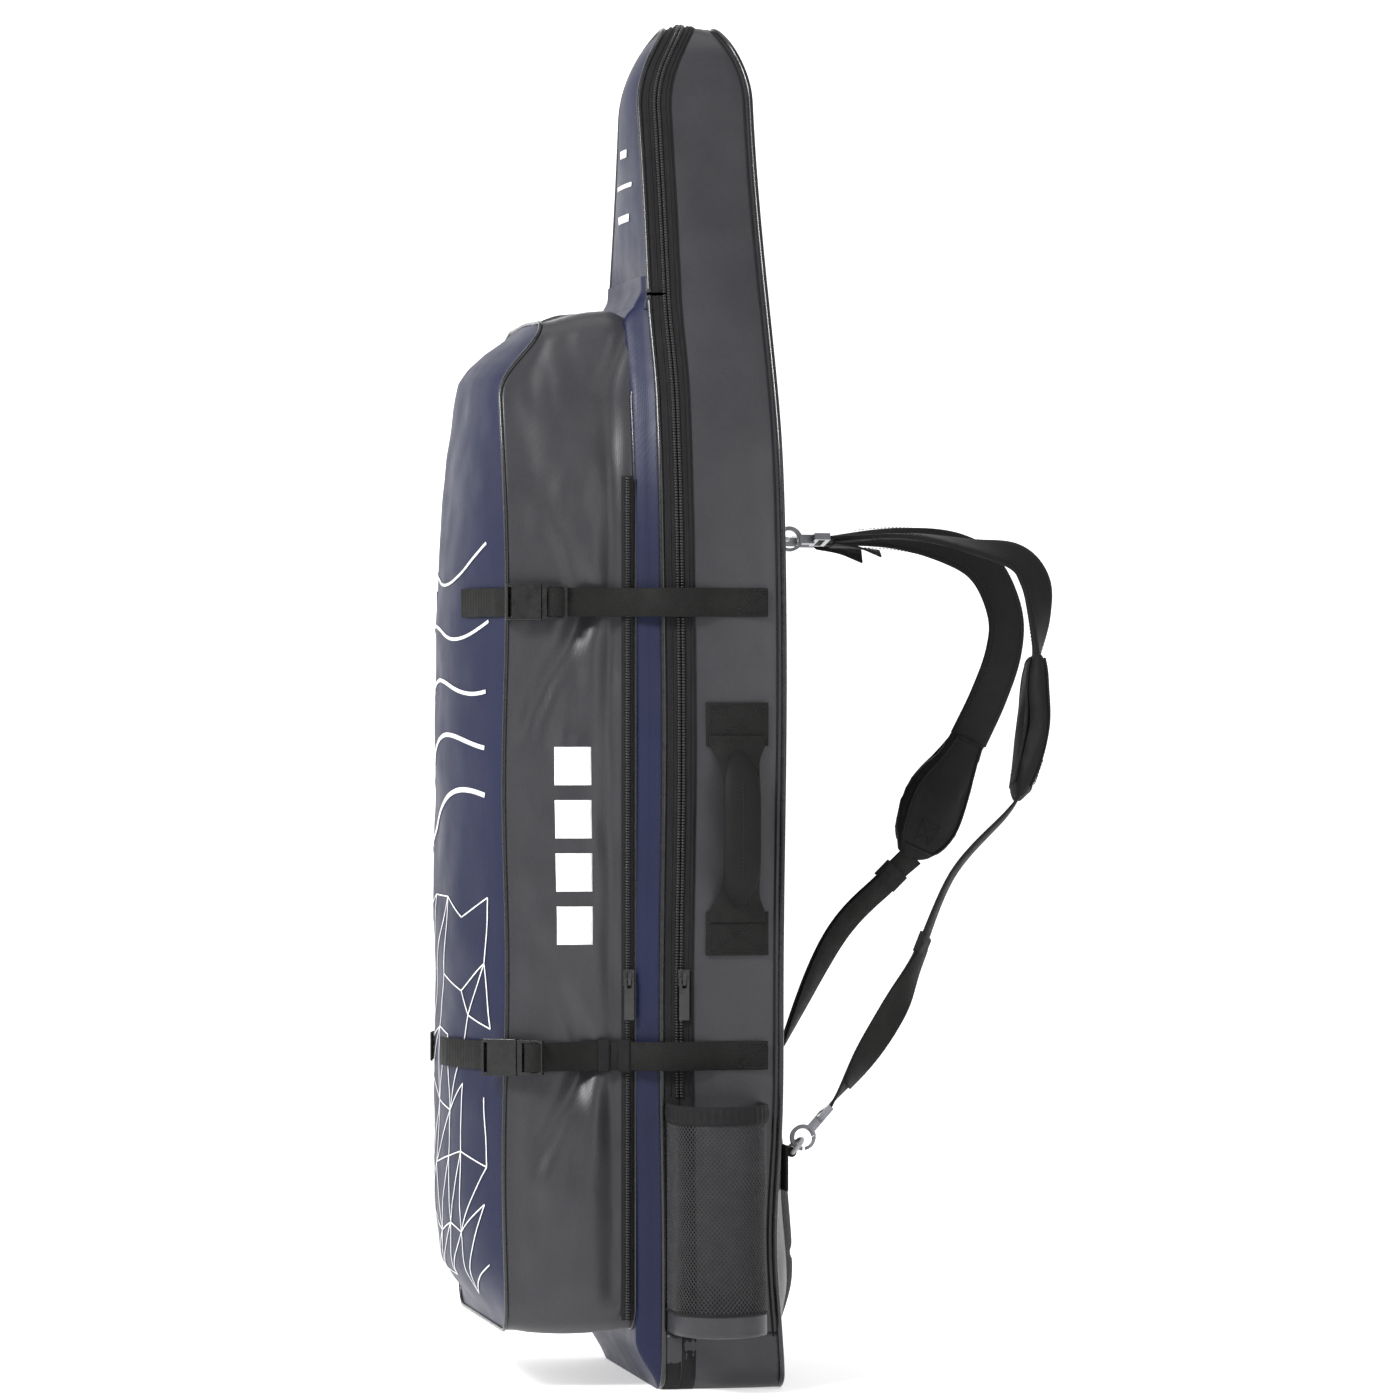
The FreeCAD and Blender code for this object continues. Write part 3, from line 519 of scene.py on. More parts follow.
def coated_cloth(name, colour, roughness=(0.34, 0.48), specular=0.4):
    """Coated woven cloth: a fine weave under a soft gloss, with scuffs and shallow creases."""
    made, tree, shader = material(name, colour, 0.42, specular=specular, sheen=0.02)
    patch = noise_node(tree, 0.16, 4)
    fine = noise_node(tree, 0.004, 3)
    tint(tree, shader, blend_node(tree, "ADD", blend_node(tree, "MULTIPLY", patch, 0.7),
                                  blend_node(tree, "MULTIPLY", fine, 0.3)),
         scaled(colour, 0.86), scaled(colour, 1.16))
    spread(tree, shader, noise_node(tree, 0.05, 4), *roughness)
    weave = blend_node(tree, "MULTIPLY", wave_node(tree, 1.5 * MM, "Z"),
                       blend_node(tree, "MULTIPLY", wave_node(tree, 1.5 * MM, "Y"), wave_node(tree, 1.5 * MM, "X")))
    low = relief(tree, shader, noise_node(tree, 0.045, 3), 1.2 * MM, 0.35)
    relief(tree, shader, weave, 0.12 * MM, 0.5, under=low)
    return made


def woven_strap(name, colour, period=1.7 * MM):
    """Nylon webbing: a strong rib with matt, slightly fuzzy threads."""
    made, tree, shader = material(name, colour, 0.74, specular=0.16, sheen=0.03)
    ribs = blend_node(tree, "MULTIPLY", wave_node(tree, period, "Z", 0.4), wave_node(tree, period, "Y", 0.4))
    tint(tree, shader, blend_node(tree, "ADD", blend_node(tree, "MULTIPLY", ribs, 0.5),
                                  blend_node(tree, "MULTIPLY", noise_node(tree, 0.02, 4), 0.5)),
         scaled(colour, 0.7), scaled(colour, 1.45), 0.15, 0.75)
    spread(tree, shader, noise_node(tree, 0.01, 2), 0.62, 0.82)
    relief(tree, shader, ribs, 0.35 * MM, 0.8)
    return made


def spacer_mesh(name, colour):
    """Padded air mesh: small round cells in a knitted face."""
    made, tree, shader = material(name, colour, 0.8, specular=0.15, sheen=0.05)
    cells = tree.nodes.new("ShaderNodeTexVoronoi")
    cells.inputs["Scale"].default_value = 1 / (3.2 * MM)
    tree.links.new(position(tree), cells.inputs["Vector"])
    tint(tree, shader, cells.outputs["Distance"], scaled(colour, 0.45), scaled(colour, 1.5), 0.15, 0.6)
    relief(tree, shader, cells.outputs["Distance"], 0.7 * MM, 0.8)
    return made


def moulded(name, colour, roughness, coat=0.1):
    """Moulded plastic: a faint grain, with roughness that varies from place to place."""
    made, tree, shader = material(name, colour, roughness, specular=0.4, coat=coat)
    tint(tree, shader, noise_node(tree, 0.012, 4), scaled(colour, 0.85), scaled(colour, 1.25))
    spread(tree, shader, noise_node(tree, 0.006, 3), roughness * 0.8, roughness * 1.3)
    relief(tree, shader, noise_node(tree, 0.0009, 2), 0.05 * MM, 0.4)
    return made


CHARCOAL = coated_cloth("charcoal_tarpaulin", (0.028, 0.028, 0.032))
NAVY = coated_cloth("navy_tarpaulin", (0.0058, 0.0086, 0.035), (0.4, 0.54), 0.26)
WEBBING = woven_strap("black_webbing", (0.009, 0.009, 0.0085))
BINDING = woven_strap("black_binding", (0.010, 0.010, 0.011), 1.1 * MM)
TAPE = woven_strap("zip_tape", (0.012, 0.012, 0.013), 1.2 * MM)
THREAD = woven_strap("black_thread", (0.02, 0.02, 0.021), 0.8 * MM)
NET = moulded("pocket_net", (0.03, 0.03, 0.032), 0.5)
AIR_MESH = spacer_mesh("air_mesh", (0.012, 0.012, 0.013))
PAD_CLOTH = coated_cloth("pad_cloth", (0.006, 0.006, 0.0066), (0.6, 0.75), 0.18)
PIPING = moulded("black_piping", (0.012, 0.012, 0.013), 0.28, 0.3)
COIL = moulded("zip_coil", (0.010, 0.010, 0.011), 0.35)
BUCKLE = moulded("buckle_plastic", (0.009, 0.009, 0.009), 0.3)
# The hooks are dark grey plastic; their colour is lifted to a mid grey as a painted reflection of the lamps' glare.
HOOK_PAINTED_GLARE = moulded("hook_plastic", (0.16, 0.165, 0.18), 0.22, 0.5)
RING = moulded("ring_plastic", (0.32, 0.32, 0.33), 0.3, 0.3)
SLIDER = moulded("slider_metal", (0.02, 0.02, 0.021), 0.32, 0.4)
PRINT = moulded("white_print", (0.80, 0.81, 0.82), 0.45)
FOAM = moulded("back_board", (0.15, 0.15, 0.15), 0.8)


# ---- main compartment

def wall_point(d, side, t, out=0.0):
    """A point on the gusset: d along the outline, t from the front piping (0) to the rear piping (1)."""
    point, normal = outline(d, side)
    y = mix(front_edge(point.y), rear_edge(point.y), t)
    flat = Vector((point.x, y, point.y))
    swell = 3.5 * MM * math.sin(math.pi * t) * smooth(d / HALF - 0.6)
    crease = 1.6 * MM * rumple((0, y, point.y), 0.07, 1 + side) + 0.8 * MM * rumple(flat, 0.028, 3)
    hold = smooth(6 * t) * smooth(6 * (1 - t))
    reach = out + (swell + crease * smooth(d / HALF - 0.8)) * hold
    return flat + Vector((normal.x, 0, normal.y)) * reach


def loop(u):
    """The share of the way up to the crown, and the side, for u from 0 (right) over the crown to 1 (left)."""
    return (u * 2, 1) if u <= 0.5 else ((1 - u) * 2, -1)


def arch_band(name, start, front, rear, out, material, body="bag", along=260, across=6, thickness=0.0):
    """A band that runs from a start distance on the right over the crown and down to the left. front and rear
    are offsets in Y from the front piping, or from the rear piping where they are negative."""
    def edge(value, z):
        return front_edge(z) + value if value >= 0 else rear_edge(z) + value

    def place(u, v):
        share, side = loop(u)
        d = mix(start, LENGTH, share)
        point, normal = outline(d, side)
        z = point.y
        y = mix(edge(front, z), edge(rear, z), v)
        t = (y - front_edge(z)) / (rear_edge(z) - front_edge(z))
        on_wall = wall_point(d, side, t, out)
        return Vector((on_wall.x, y, on_wall.z))
    return grid(name, along, across, place, material, body, thickness)


BASE_START = distance_at(BASE_WRAP)
FLAP_START, FOLD_END = distance_at(FLAP + MM), distance_at(FLAP - 2 * MM)
gusset = arch_band("main_gusset", BASE_START, TAPE_WIDTH, -0.5 * MM, 0, CHARCOAL, along=420, across=26,
                   thickness=CLOTH)
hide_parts("right_gusset", "left_gusset", "top_gusset")


def base_point(u, v):
    """The base and the turned-up ends that join the gusset: v from front to back, u from right to left."""
    share = abs(u * 2 - 1)
    side = 1 if u < 0.5 else -1
    d = share * (BASE_START + 3 * MM)
    out = 1.0 * MM * smooth((d - HALF) / 0.02)
    return wall_point(d, side, v, out)


base = grid("base_gusset", 90, 16, base_point, CHARCOAL, thickness=CLOTH)
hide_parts("base_panel")


def back_point(u, v):
    """The back panel: u from right to left, v from the base to the crown, padded and fuller low down."""
    d = mix(HALF - CORNER, LENGTH, v)
    point, _ = outline(d)
    a = 1 - 2 * u
    z = point.y
    rim = (1 - abs(a) ** 3) * smooth(v * 12) * smooth((1 - v) * 8)
    full = 7 * MM + 20 * MM * bump(z, 0.105, 0.09) + 4 * MM * bump(z, 0.45, 0.2)
    crease = 1.5 * MM * rumple((a * 0.15, 0, z), 0.08, 9)
    return Vector((point.x * a, rear_edge(z) + (full + crease) * rim, z))


back = grid("back_panel_cloth", 60, 150, back_point, CHARCOAL, thickness=CLOTH)
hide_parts("back_panel")


def lumbar_point(u, v):
    """The lumbar pad: a low crowned cushion that lies on the bottom of the back."""
    low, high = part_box("lumbar_pad")
    across, z = 1 - 2 * u, mix(low.z + 6 * MM, high.z - 4 * MM, v)
    share = (distance_at(z) - HALF + CORNER) / (LENGTH - HALF + CORNER)
    x = high.x * 0.97 * across
    under = back_point((1 - x / outline(distance_at(z))[0].x) / 2, share)
    dome = (1 - abs(across) ** 4) * math.sin(math.pi * v) ** 0.5
    channel = 3 * MM * (bump(z, 0.112, 0.004) + bump(z, 0.2, 0.004)) * dome
    return Vector((x, under.y - MM + mix(9, 14, v) * MM * dome - channel, z))


lumbar = grid("lumbar_cushion", 60, 70, lumbar_point, AIR_MESH, thickness=CLOTH)
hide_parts("lumbar_pad")


def board_point(u, v):
    """The stiffening sheet just inside the back panel."""
    z = mix(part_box("back_board")[0].z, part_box("back_board")[1].z, v)
    half = outline(distance_at(z))[0].x - 14 * MM
    return Vector((half * (1 - 2 * u), rear_edge(z) - 6 * MM, z))


board = grid("inner_board", 10, 80, board_point, FOAM, thickness=3 * MM)
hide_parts("back_board")


def seam_half(z):
    """Half the width between the pocket's rear seams at a height."""
    return min(P_HALF, outline(distance_at(z))[0].x - 10 * MM)


def front_point(u, v):
    """The lower front panel: it slants forward from the piping to the pocket's seam and runs behind the pocket."""
    d = mix(HALF - CORNER, distance_at(FLAP - MM), v)
    point, _ = outline(d)
    z, half = point.y, point.x
    a = 1 - 2 * u
    inner = seam_half(max(z, 0.05)) / max(half, 1e-6)
    reach = smooth((1 - abs(a)) / max(1 - inner, 1e-3))
    forward = 21 * MM * smooth((z + 0.006) / 0.05) * smooth((FLAP + 4 * MM - z) / 0.03) + 2 * MM
    crease = 1.2 * MM * rumple((a, 0, z), 0.05, 5) * math.sin(math.pi * min(reach, 1))
    return Vector((half * a, front_edge(z) - forward * reach + crease, z))


front = grid("lower_front_cloth", 120, 220, front_point, NAVY, thickness=CLOTH)
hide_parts("main_front_panel")


def flap_point(u, v):
    """The upper front flap, a little crowned, from its fold up to the crown."""
    d = mix(FLAP_START, LENGTH, v)
    point, _ = outline(d)
    a = 1 - 2 * u
    z = point.y
    crown = 5 * MM * (1 - a * a) * smooth(v * 6) * smooth((1 - v) * 5)
    crease = 1.0 * MM * rumple((point.x * a, 0, z), 0.06, 12) * (1 - abs(a) ** 4)
    return Vector((point.x * a, front_edge(z) - MM - crown + crease, z))


flap = grid("flap_cloth", 50, 90, flap_point, NAVY, "front_flap", thickness=CLOTH)
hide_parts("flap_panel")


def fold_point(u, v):
    """A narrow band of the same cloth over the fold, half on the panel below and half on the flap."""
    z = mix(FLAP - 14 * MM, FLAP + 16 * MM, v)
    half = outline(distance_at(z))[0].x - 0.5 * MM
    a = 1 - 2 * u
    low = front_point(u, 1).y
    high = flap_point(u, smooth((z - FLAP) / 0.016) * 0.06).y
    lean = (1 - smooth((z - FLAP + 0.014) / 0.02)) * 8 * MM * smooth((1 - abs(a)) * 12)
    return Vector((half * a, min(low, high) - 1.5 * MM - lean, z))


fold_band = grid("flap_fold_band", 60, 14, fold_point, NAVY, None, thickness=1.2 * MM)
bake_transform(fold_band)

# ---- piping and the main zip


def edge_line(start, end, side, y_of, out, steps):
    line = []
    for i in range(steps + 1):
        point, normal = outline(mix(start, end, i / steps), side)
        z = point.y
        line.append(Vector((point.x + normal.x * out, y_of(z), z + normal.y * out)))
    return line


def whole_line(start, y_of, out, steps=240):
    """From a start on the right over the crown to the same start on the left."""
    right = edge_line(start, LENGTH, 1, y_of, out, steps)
    left = edge_line(start, LENGTH, -1, y_of, out, steps)
    return right + left[::-1][1:]


PIPE = 2.4 * MM
rear_loop = whole_line(0.002, rear_edge, 0.6 * MM, 300)
rear_loop = [p + Vector((0, 0, PIPE * smooth(1 - p.z / 0.01))) for p in rear_loop]
rear_pipe = tube("rear_piping_cord", rear_loop, PIPE, PIPING)
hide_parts("rear_piping")
inner_pipe = tube("rear_piping_fold", whole_line(BASE_START, lambda z: rear_edge(z) - 6 * MM, 0.9 * MM, 260),
                  0.9 * MM, BINDING)

for side, sign in SIDES:
    line = edge_line(0.0, FOLD_END, sign, front_edge, 0.4 * MM, 220)
    line = [p + Vector((0, 0, PIPE * smooth(1 - p.z / 0.01))) for p in line]
    tube(f"front_piping_cord_{side}", line, PIPE, PIPING)
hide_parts("front_piping")
flap_pipe = tube("flap_piping_cord", whole_line(FLAP_START, front_edge, 0.4 * MM, 90), PIPE, PIPING, "front_flap")
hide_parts("flap_trim")

ZIP_START = distance_at(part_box("main_zip_tape")[0].z)


def on_zip(d, side, setback, out):
    """A point on the zip's band, by its distance behind the front piping."""
    z = outline(d, side)[0].y
    return wall_point(d, side, setback / (rear_edge(z) - front_edge(z)), out)


def lower_tape_side(sign):
    def place(u, v):
        return on_zip(mix(0.12, FOLD_END, u), sign, mix(MM, ZIP_SETBACK, v), 0.9 * MM)
    return place


rear_tape = arch_band("zip_tape_rear", 0.0, ZIP_SETBACK + 0.6 * MM, TAPE_WIDTH + 3 * MM, 1 * MM, TAPE,
                      thickness=1 * MM, across=3)
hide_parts("main_zip_tape")
for side, sign in SIDES:
    lower_tape = grid(f"zip_tape_front_{side}", 240, 4, lower_tape_side(sign), TAPE, thickness=1 * MM)


def flap_tape_point(u, v):
    share, side = loop(u)
    return on_zip(mix(FLAP_START, LENGTH, share), side, mix(MM, ZIP_SETBACK, v), 0.9 * MM)


flap_tape = grid("zip_tape_flap", 120, 3, flap_tape_point, TAPE, "front_flap", thickness=1 * MM)


def coil_mesh(name, line, outs, pitch, width, height, material, body="bag"):
    """A zip's teeth: a row of small rounded loops across the line."""
    verts, faces = [], []
    travelled, due = 0.0, 0.0
    section = [(-1, 0), (-0.8, 0.75), (-0.3, 1), (0.3, 1), (0.8, 0.75), (1, 0)]
    for i in range(len(line) - 1):
        a, b = line[i], line[i + 1]
        step = (b - a).length
        while due < travelled + step:
            f = (due - travelled) / step
            here, out = a.lerp(b, f), outs[i]
            along = (b - a).normalized()
            across = along.cross(out).normalized()
            base = len(verts)
            for s in (-0.36, 0.36):
                verts += [here + along * pitch * s + across * width / 2 * p + out * height * q for p, q in section]
            count = len(section)
            faces += [(base + k, base + k + 1, base + count + k + 1, base + count + k) for k in range(count - 1)]
            faces += [tuple(base + k for k in range(count))[::-1], tuple(base + count + k for k in range(count))]
            due += pitch
        travelled += step
    return make(name, verts, faces, material, body)


def half_line(start, end, side, setback, out):
    places = [mix(start, end, i / 400) for i in range(401)]
    outs = [Vector((normal.x, 0, normal.y)) for normal in (outline(d, side)[1] for d in places)]
    return [on_zip(d, side, setback, out) for d in places], outs


def coil_line(start, setback, out):
    (right, right_outs), (left, left_outs) = (half_line(start, LENGTH, side, setback, out) for side in (1, -1))
    return right + left[::-1][1:], right_outs + left_outs[::-1][1:]


def coil_row(name, line, outs, body="bag"):
    row = coil_mesh(name, line, outs, 2.5 * MM, 3.6 * MM, 1.7 * MM, COIL, body)
    return row


def zip_welt(name, line, body="bag"):
    tube(name, line, 0.8 * MM, TAPE, body)


TEETH_OUT, WELT_OUT = 1.2 * MM, 1.0 * MM
FRONT_TEETH, FRONT_WELT = ZIP_SETBACK - 1.9 * MM, ZIP_SETBACK - 7.5 * MM
rear_row = coil_row("zip_coil_rear", *coil_line(ZIP_START, ZIP_SETBACK + 1.9 * MM, TEETH_OUT))
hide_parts("main_zip_coil")
for name, offset in (("zip_rear_welt", 7.5 * MM), ("zip_rear_rib", 10.5 * MM)):
    zip_welt(name, coil_line(ZIP_START, ZIP_SETBACK + offset, WELT_OUT)[0])

# the front row parts at the flap's fold: above it the teeth and the welt go with the flap
coil_row("zip_coil_flap", *coil_line(FLAP_START, FRONT_TEETH, TEETH_OUT), body="front_flap")
zip_welt("zip_flap_welt", coil_line(FLAP_START, FRONT_WELT, WELT_OUT)[0], "front_flap")
for side, sign in SIDES:
    coil_row(f"zip_coil_front_{side}", *half_line(ZIP_START, FOLD_END, sign, FRONT_TEETH, TEETH_OUT))
    zip_welt(f"zip_front_welt_{side}", half_line(ZIP_START, FOLD_END, sign, FRONT_WELT, WELT_OUT)[0])
for name in ("main_zip_slider", "main_zip_puller", "pocket_zip_slider", "pocket_zip_puller"):
    soften(name, f"{name}_cast", SLIDER, 0.5 * MM)

# ---- front pocket: a ring of gusset between the seam on the front panel and the seam round the crowned front

SEAM_SIDE, SEAM_TOP = P_EDGE + 2 * MM, P_EDGE + 41 * MM
BROW = P_TOP - 8 * MM
POCKET_CORNER = 24 * MM
CROWN_LINE = [(0.053, -0.194), (0.075, -0.213), (0.100, -0.223), (0.159, -0.228), (0.400, -0.2285),
              (0.638, -0.228), (0.741, -0.223), (0.816, -0.216), (0.859, -0.210), (0.883, -0.206),
              (0.895, -0.198), (0.908, -0.184), (0.921, -0.165), (0.933, -0.150)]


def pocket_half_outline():
    """The right half of the pocket's front seam as (x, z), from the middle of the bottom to the middle of the top."""
    low = P_BOTTOM + 3 * MM
    line = [(x * (P_HALF - POCKET_CORNER) / 16, low) for x in range(16)]
    line += [(P_HALF - POCKET_CORNER * (1 - math.sin(a)), low + POCKET_CORNER * (1 - math.cos(a)))
             for a in (math.pi / 2 * i / 10 for i in range(11))]
    corner = 20 * MM
    for i in range(1, 121):
        z = mix(low + POCKET_CORNER, BROW - corner, i / 120)
        line.append((min(P_HALF, outline(distance_at(z))[0].x - 10 * MM), z))
    x0, z0 = line[-1]
    line += [(x0 - corner * (1 - math.cos(a)) - 4 * MM * a, z0 + corner * math.sin(a))
             for a in (math.pi / 2 * i / 10 for i in range(1, 11))]
    x1 = line[-1][0]
    line += [(mix(x1, 0, i / 16), BROW + 2 * MM * smooth(i / 16)) for i in range(1, 17)]
    return line


POCKET_LINE = pocket_half_outline()
POCKET_DISTANCE = measured(POCKET_LINE)
POCKET_LENGTH = POCKET_DISTANCE[-1]
FRONT_LOW, FRONT_HIGH = POCKET_LINE[0][1], BROW + 2 * MM


def seam_y(z):
    """How far forward the seam round the pocket's front runs at a height."""
    return mix(SEAM_SIDE, SEAM_TOP, smooth((z - 0.862) / 0.07) ** 1.2) + 1.5 * MM * math.sin(z * 19 + 1)


def crown_at(z):
    """How far forward the middle of the pocket's front is at a height."""
    if z <= CROWN_LINE[0][0]:
        return CROWN_LINE[0][1]
    for (z0, y0), (z1, y1) in zip(CROWN_LINE, CROWN_LINE[1:]):
        if z <= z1:
            return mix(y0, y1, (z - z0) / (z1 - z0))
    return CROWN_LINE[-1][1]


def strap_pull(z):
    """1 where a compression strap crosses, dying away above and below it."""
    return sum(bump(z, height, 0.028) for height in STRAP_HEIGHTS)


def pocket_side(d, side, t):
    """A point on the pocket's gusset: t from the rear seam (0) to the front seam (1)."""
    point, normal = point_along(POCKET_LINE, POCKET_DISTANCE, d)
    x, z = point.x, point.y
    brow = smooth((z - 0.86) / 0.07)
    front_y = seam_y(z)
    y = mix(P_REAR + 18 * MM * brow, front_y, t)
    rise = 7 * MM * brow * (1 - t)
    on_side = smooth((d - P_HALF) / 0.03)
    sag = (3 + 2.5 * math.sin(z * 9)) * MM * math.sin(math.pi * t)
    folds = (7.0 * MM * rumple((side, y * 0.8, z * 0.6), 0.085, 2) + 2.2 * MM * rumple((side, y, z), 0.04, 6)
             + 1.2 * MM * rumple((side, y * 2.2, z * 0.7), 0.03, 11))
    hollow = -10.0 * MM * bump(t, 0.17, 0.1) * (0.55 + 0.45 * rumple((side, 0, z), 0.12, 41))
    creases = 0.0
    for height in STRAP_HEIGHTS:
        for slant, reach, depth in ((-1.1, 0.18, 8.0), (0.9, 0.13, 6.0), (-0.4, 0.22, 6.0)):
            along_fold = (height - z) * (1 if slant < 0 else -1)
            if along_fold > 0:
                offset = (y - SEAM_SIDE * 0.62) - slant * (height - z) * 0.45
                creases -= depth * MM * bump(offset, 0.0, 0.011) * (1 - smooth(along_fold / reach))
    pull = -3.5 * MM * strap_pull(z) * math.sin(math.pi * min(t * 1.1, 1)) + hollow + creases
    hold = smooth(5 * t) * smooth(5 * (1 - t))
    out = (sag + folds * on_side + pull * on_side) * hold
    return Vector(((x + normal.x * out) * side, y, z + normal.y * out + rise))


def ring_place(u):
    """Distance along half the ring, and the side, for u round the whole ring."""
    return (u * 2 * POCKET_LENGTH, 1) if u <= 0.5 else ((1 - u) * 2 * POCKET_LENGTH, -1)


def pocket_ring(u, v):
    d, side = ring_place(u)
    return pocket_side(d, side, v)


pocket_gusset = grid("pocket_gusset_cloth", 700, 32, pocket_ring, CHARCOAL, ring=True, thickness=CLOTH,
                     core=pocket_core)
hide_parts("pocket_gusset_right", "pocket_gusset_left", "pocket_gusset_bottom",
            "pocket_gusset_top")


def pocket_front(a, z_share, out=0.0):
    """A point on the pocket's crowned front: a from -1 to 1 across, z_share from the bottom to the brow."""
    z = mix(FRONT_LOW, FRONT_HIGH, z_share)
    half = half_at_height(z)
    x = half * a
    edge, crown = seam_y(z), crown_at(z)
    fullness = (1 - abs(a) ** 2.3) * smooth(z_share * 14) ** 0.5
    folds = 2.2 * MM * rumple((x, 0, z), 0.09, 21) + 1.0 * MM * rumple((x, 0, z), 0.035, 22)
    tight = 3.0 * MM * strap_pull(z) * smooth((abs(a) - 0.25) / 0.4)
    hold = smooth((1 - abs(a)) * 5) * smooth(z_share * 10) * smooth((1 - z_share) * 12)
    y = edge + (crown - edge) * fullness + (folds + tight) * hold - out
    return Vector((x, y, z))


def half_at_height(z):
    """Half the width of the pocket's front seam at a height."""
    if z < FRONT_LOW + POCKET_CORNER:
        drop = 1 - (z - FRONT_LOW) / POCKET_CORNER
        return P_HALF - POCKET_CORNER * (1 - math.sqrt(max(1 - drop * drop, 0)))
    for before, after in zip(POCKET_LINE[26:], POCKET_LINE[27:]):
        if before[1] <= z <= after[1] and after[1] > before[1]:
            return mix(before[0], after[0], (z - before[1]) / (after[1] - before[1]))
    return POCKET_LINE[-17][0]


def pocket_cloth(u, v):
    return pocket_front(1 - 2 * u, v)


front_cloth = grid("pocket_front_cloth", 110, 330, pocket_cloth, NAVY, thickness=CLOTH, core=pocket_core)
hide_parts("pocket_front_panel")

seam_line = [pocket_side(*ring_place(i / 600), 1.0) for i in range(600)]
seam_pipe = tube("pocket_front_piping", [p + Vector((0, -0.6 * MM, 0)) for p in seam_line], 1.7 * MM, PIPING,
                 closed=True)
rear_seam = [pocket_side(*ring_place(i / 600), 0.0) for i in range(600)]
rear_seam_pipe = tube("pocket_rear_piping", rear_seam, 1.6 * MM, PIPING, closed=True)

# the pocket's side zip
(_, ZIP_FRONT, ZIP_LOW), (_, ZIP_REAR, ZIP_HIGH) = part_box("pocket_zip")


def zip_side(sign):
    def place(u, v):
        z = mix(ZIP_LOW, ZIP_HIGH, u)
        return Vector(((P_HALF + 1.6 * MM + 1.0 * MM * math.sin(math.pi * v)) * sign,
                       mix(ZIP_REAR, ZIP_FRONT, v), z))
    return place


for side, sign in SIDES:
    zip_tape = grid(f"pocket_zip_tape_{side}", 160, 4, zip_side(sign), TAPE, thickness=1.2 * MM,
                    core=pocket_core)
    if side == "right":
        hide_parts("pocket_zip")
    middle = (ZIP_FRONT + ZIP_REAR) / 2
    line = [Vector(((P_HALF + 2.6 * MM) * sign, middle, mix(ZIP_LOW, ZIP_HIGH, i / 200))) for i in range(201)]
    outs = [Vector((sign, 0, 0))] * 201
    teeth = coil_mesh(f"pocket_zip_teeth_{side}", line, outs, 2.4 * MM, 4.8 * MM, 1.4 * MM, COIL)

# ---- compression straps


def strap_frame(level, side):
    """The buckle's own frame: its origin, the way outward, the way along, and whether it is turned."""
    sign = dict(SIDES)[side]
    axis = JOINTS[f"buckle_release_{level}_{side}"]["axis"]
    along = Vector(axis).normalized()
    out = Vector((along.y * sign, -along.x * sign, 0))
    low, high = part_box(f"male_buckle_{level}_{side}")
    turn_sin, turn_cos = abs(along.x), along.y
    near_x = min(abs(low.x), abs(high.x))
    start = Vector(((near_x - 1.5 * MM * turn_cos - 8 * MM * turn_sin) * sign,
                    low.y + 8.5 * MM * turn_sin - 8 * MM * turn_cos, (low.z + high.z) / 2))
    return start, out, along, turn_sin > 0.01


def box_stitch(x, near_y, far_y, near_z, far_z):
    """Rows of stitches on the bag's side: a box with a cross in it."""
    runs = [((near_y, near_z), (near_y, far_z)), ((far_y, near_z), (far_y, far_z)),
            ((near_y, near_z), (far_y, near_z)), ((near_y, far_z), (far_y, far_z)),
            ((near_y, near_z), (far_y, far_z)), ((near_y, far_z), (far_y, near_z))]
    face = OUT_X * math.copysign(1, x)
    return [([Vector((x, *start)), Vector((x, *end))], face) for start, end in runs]


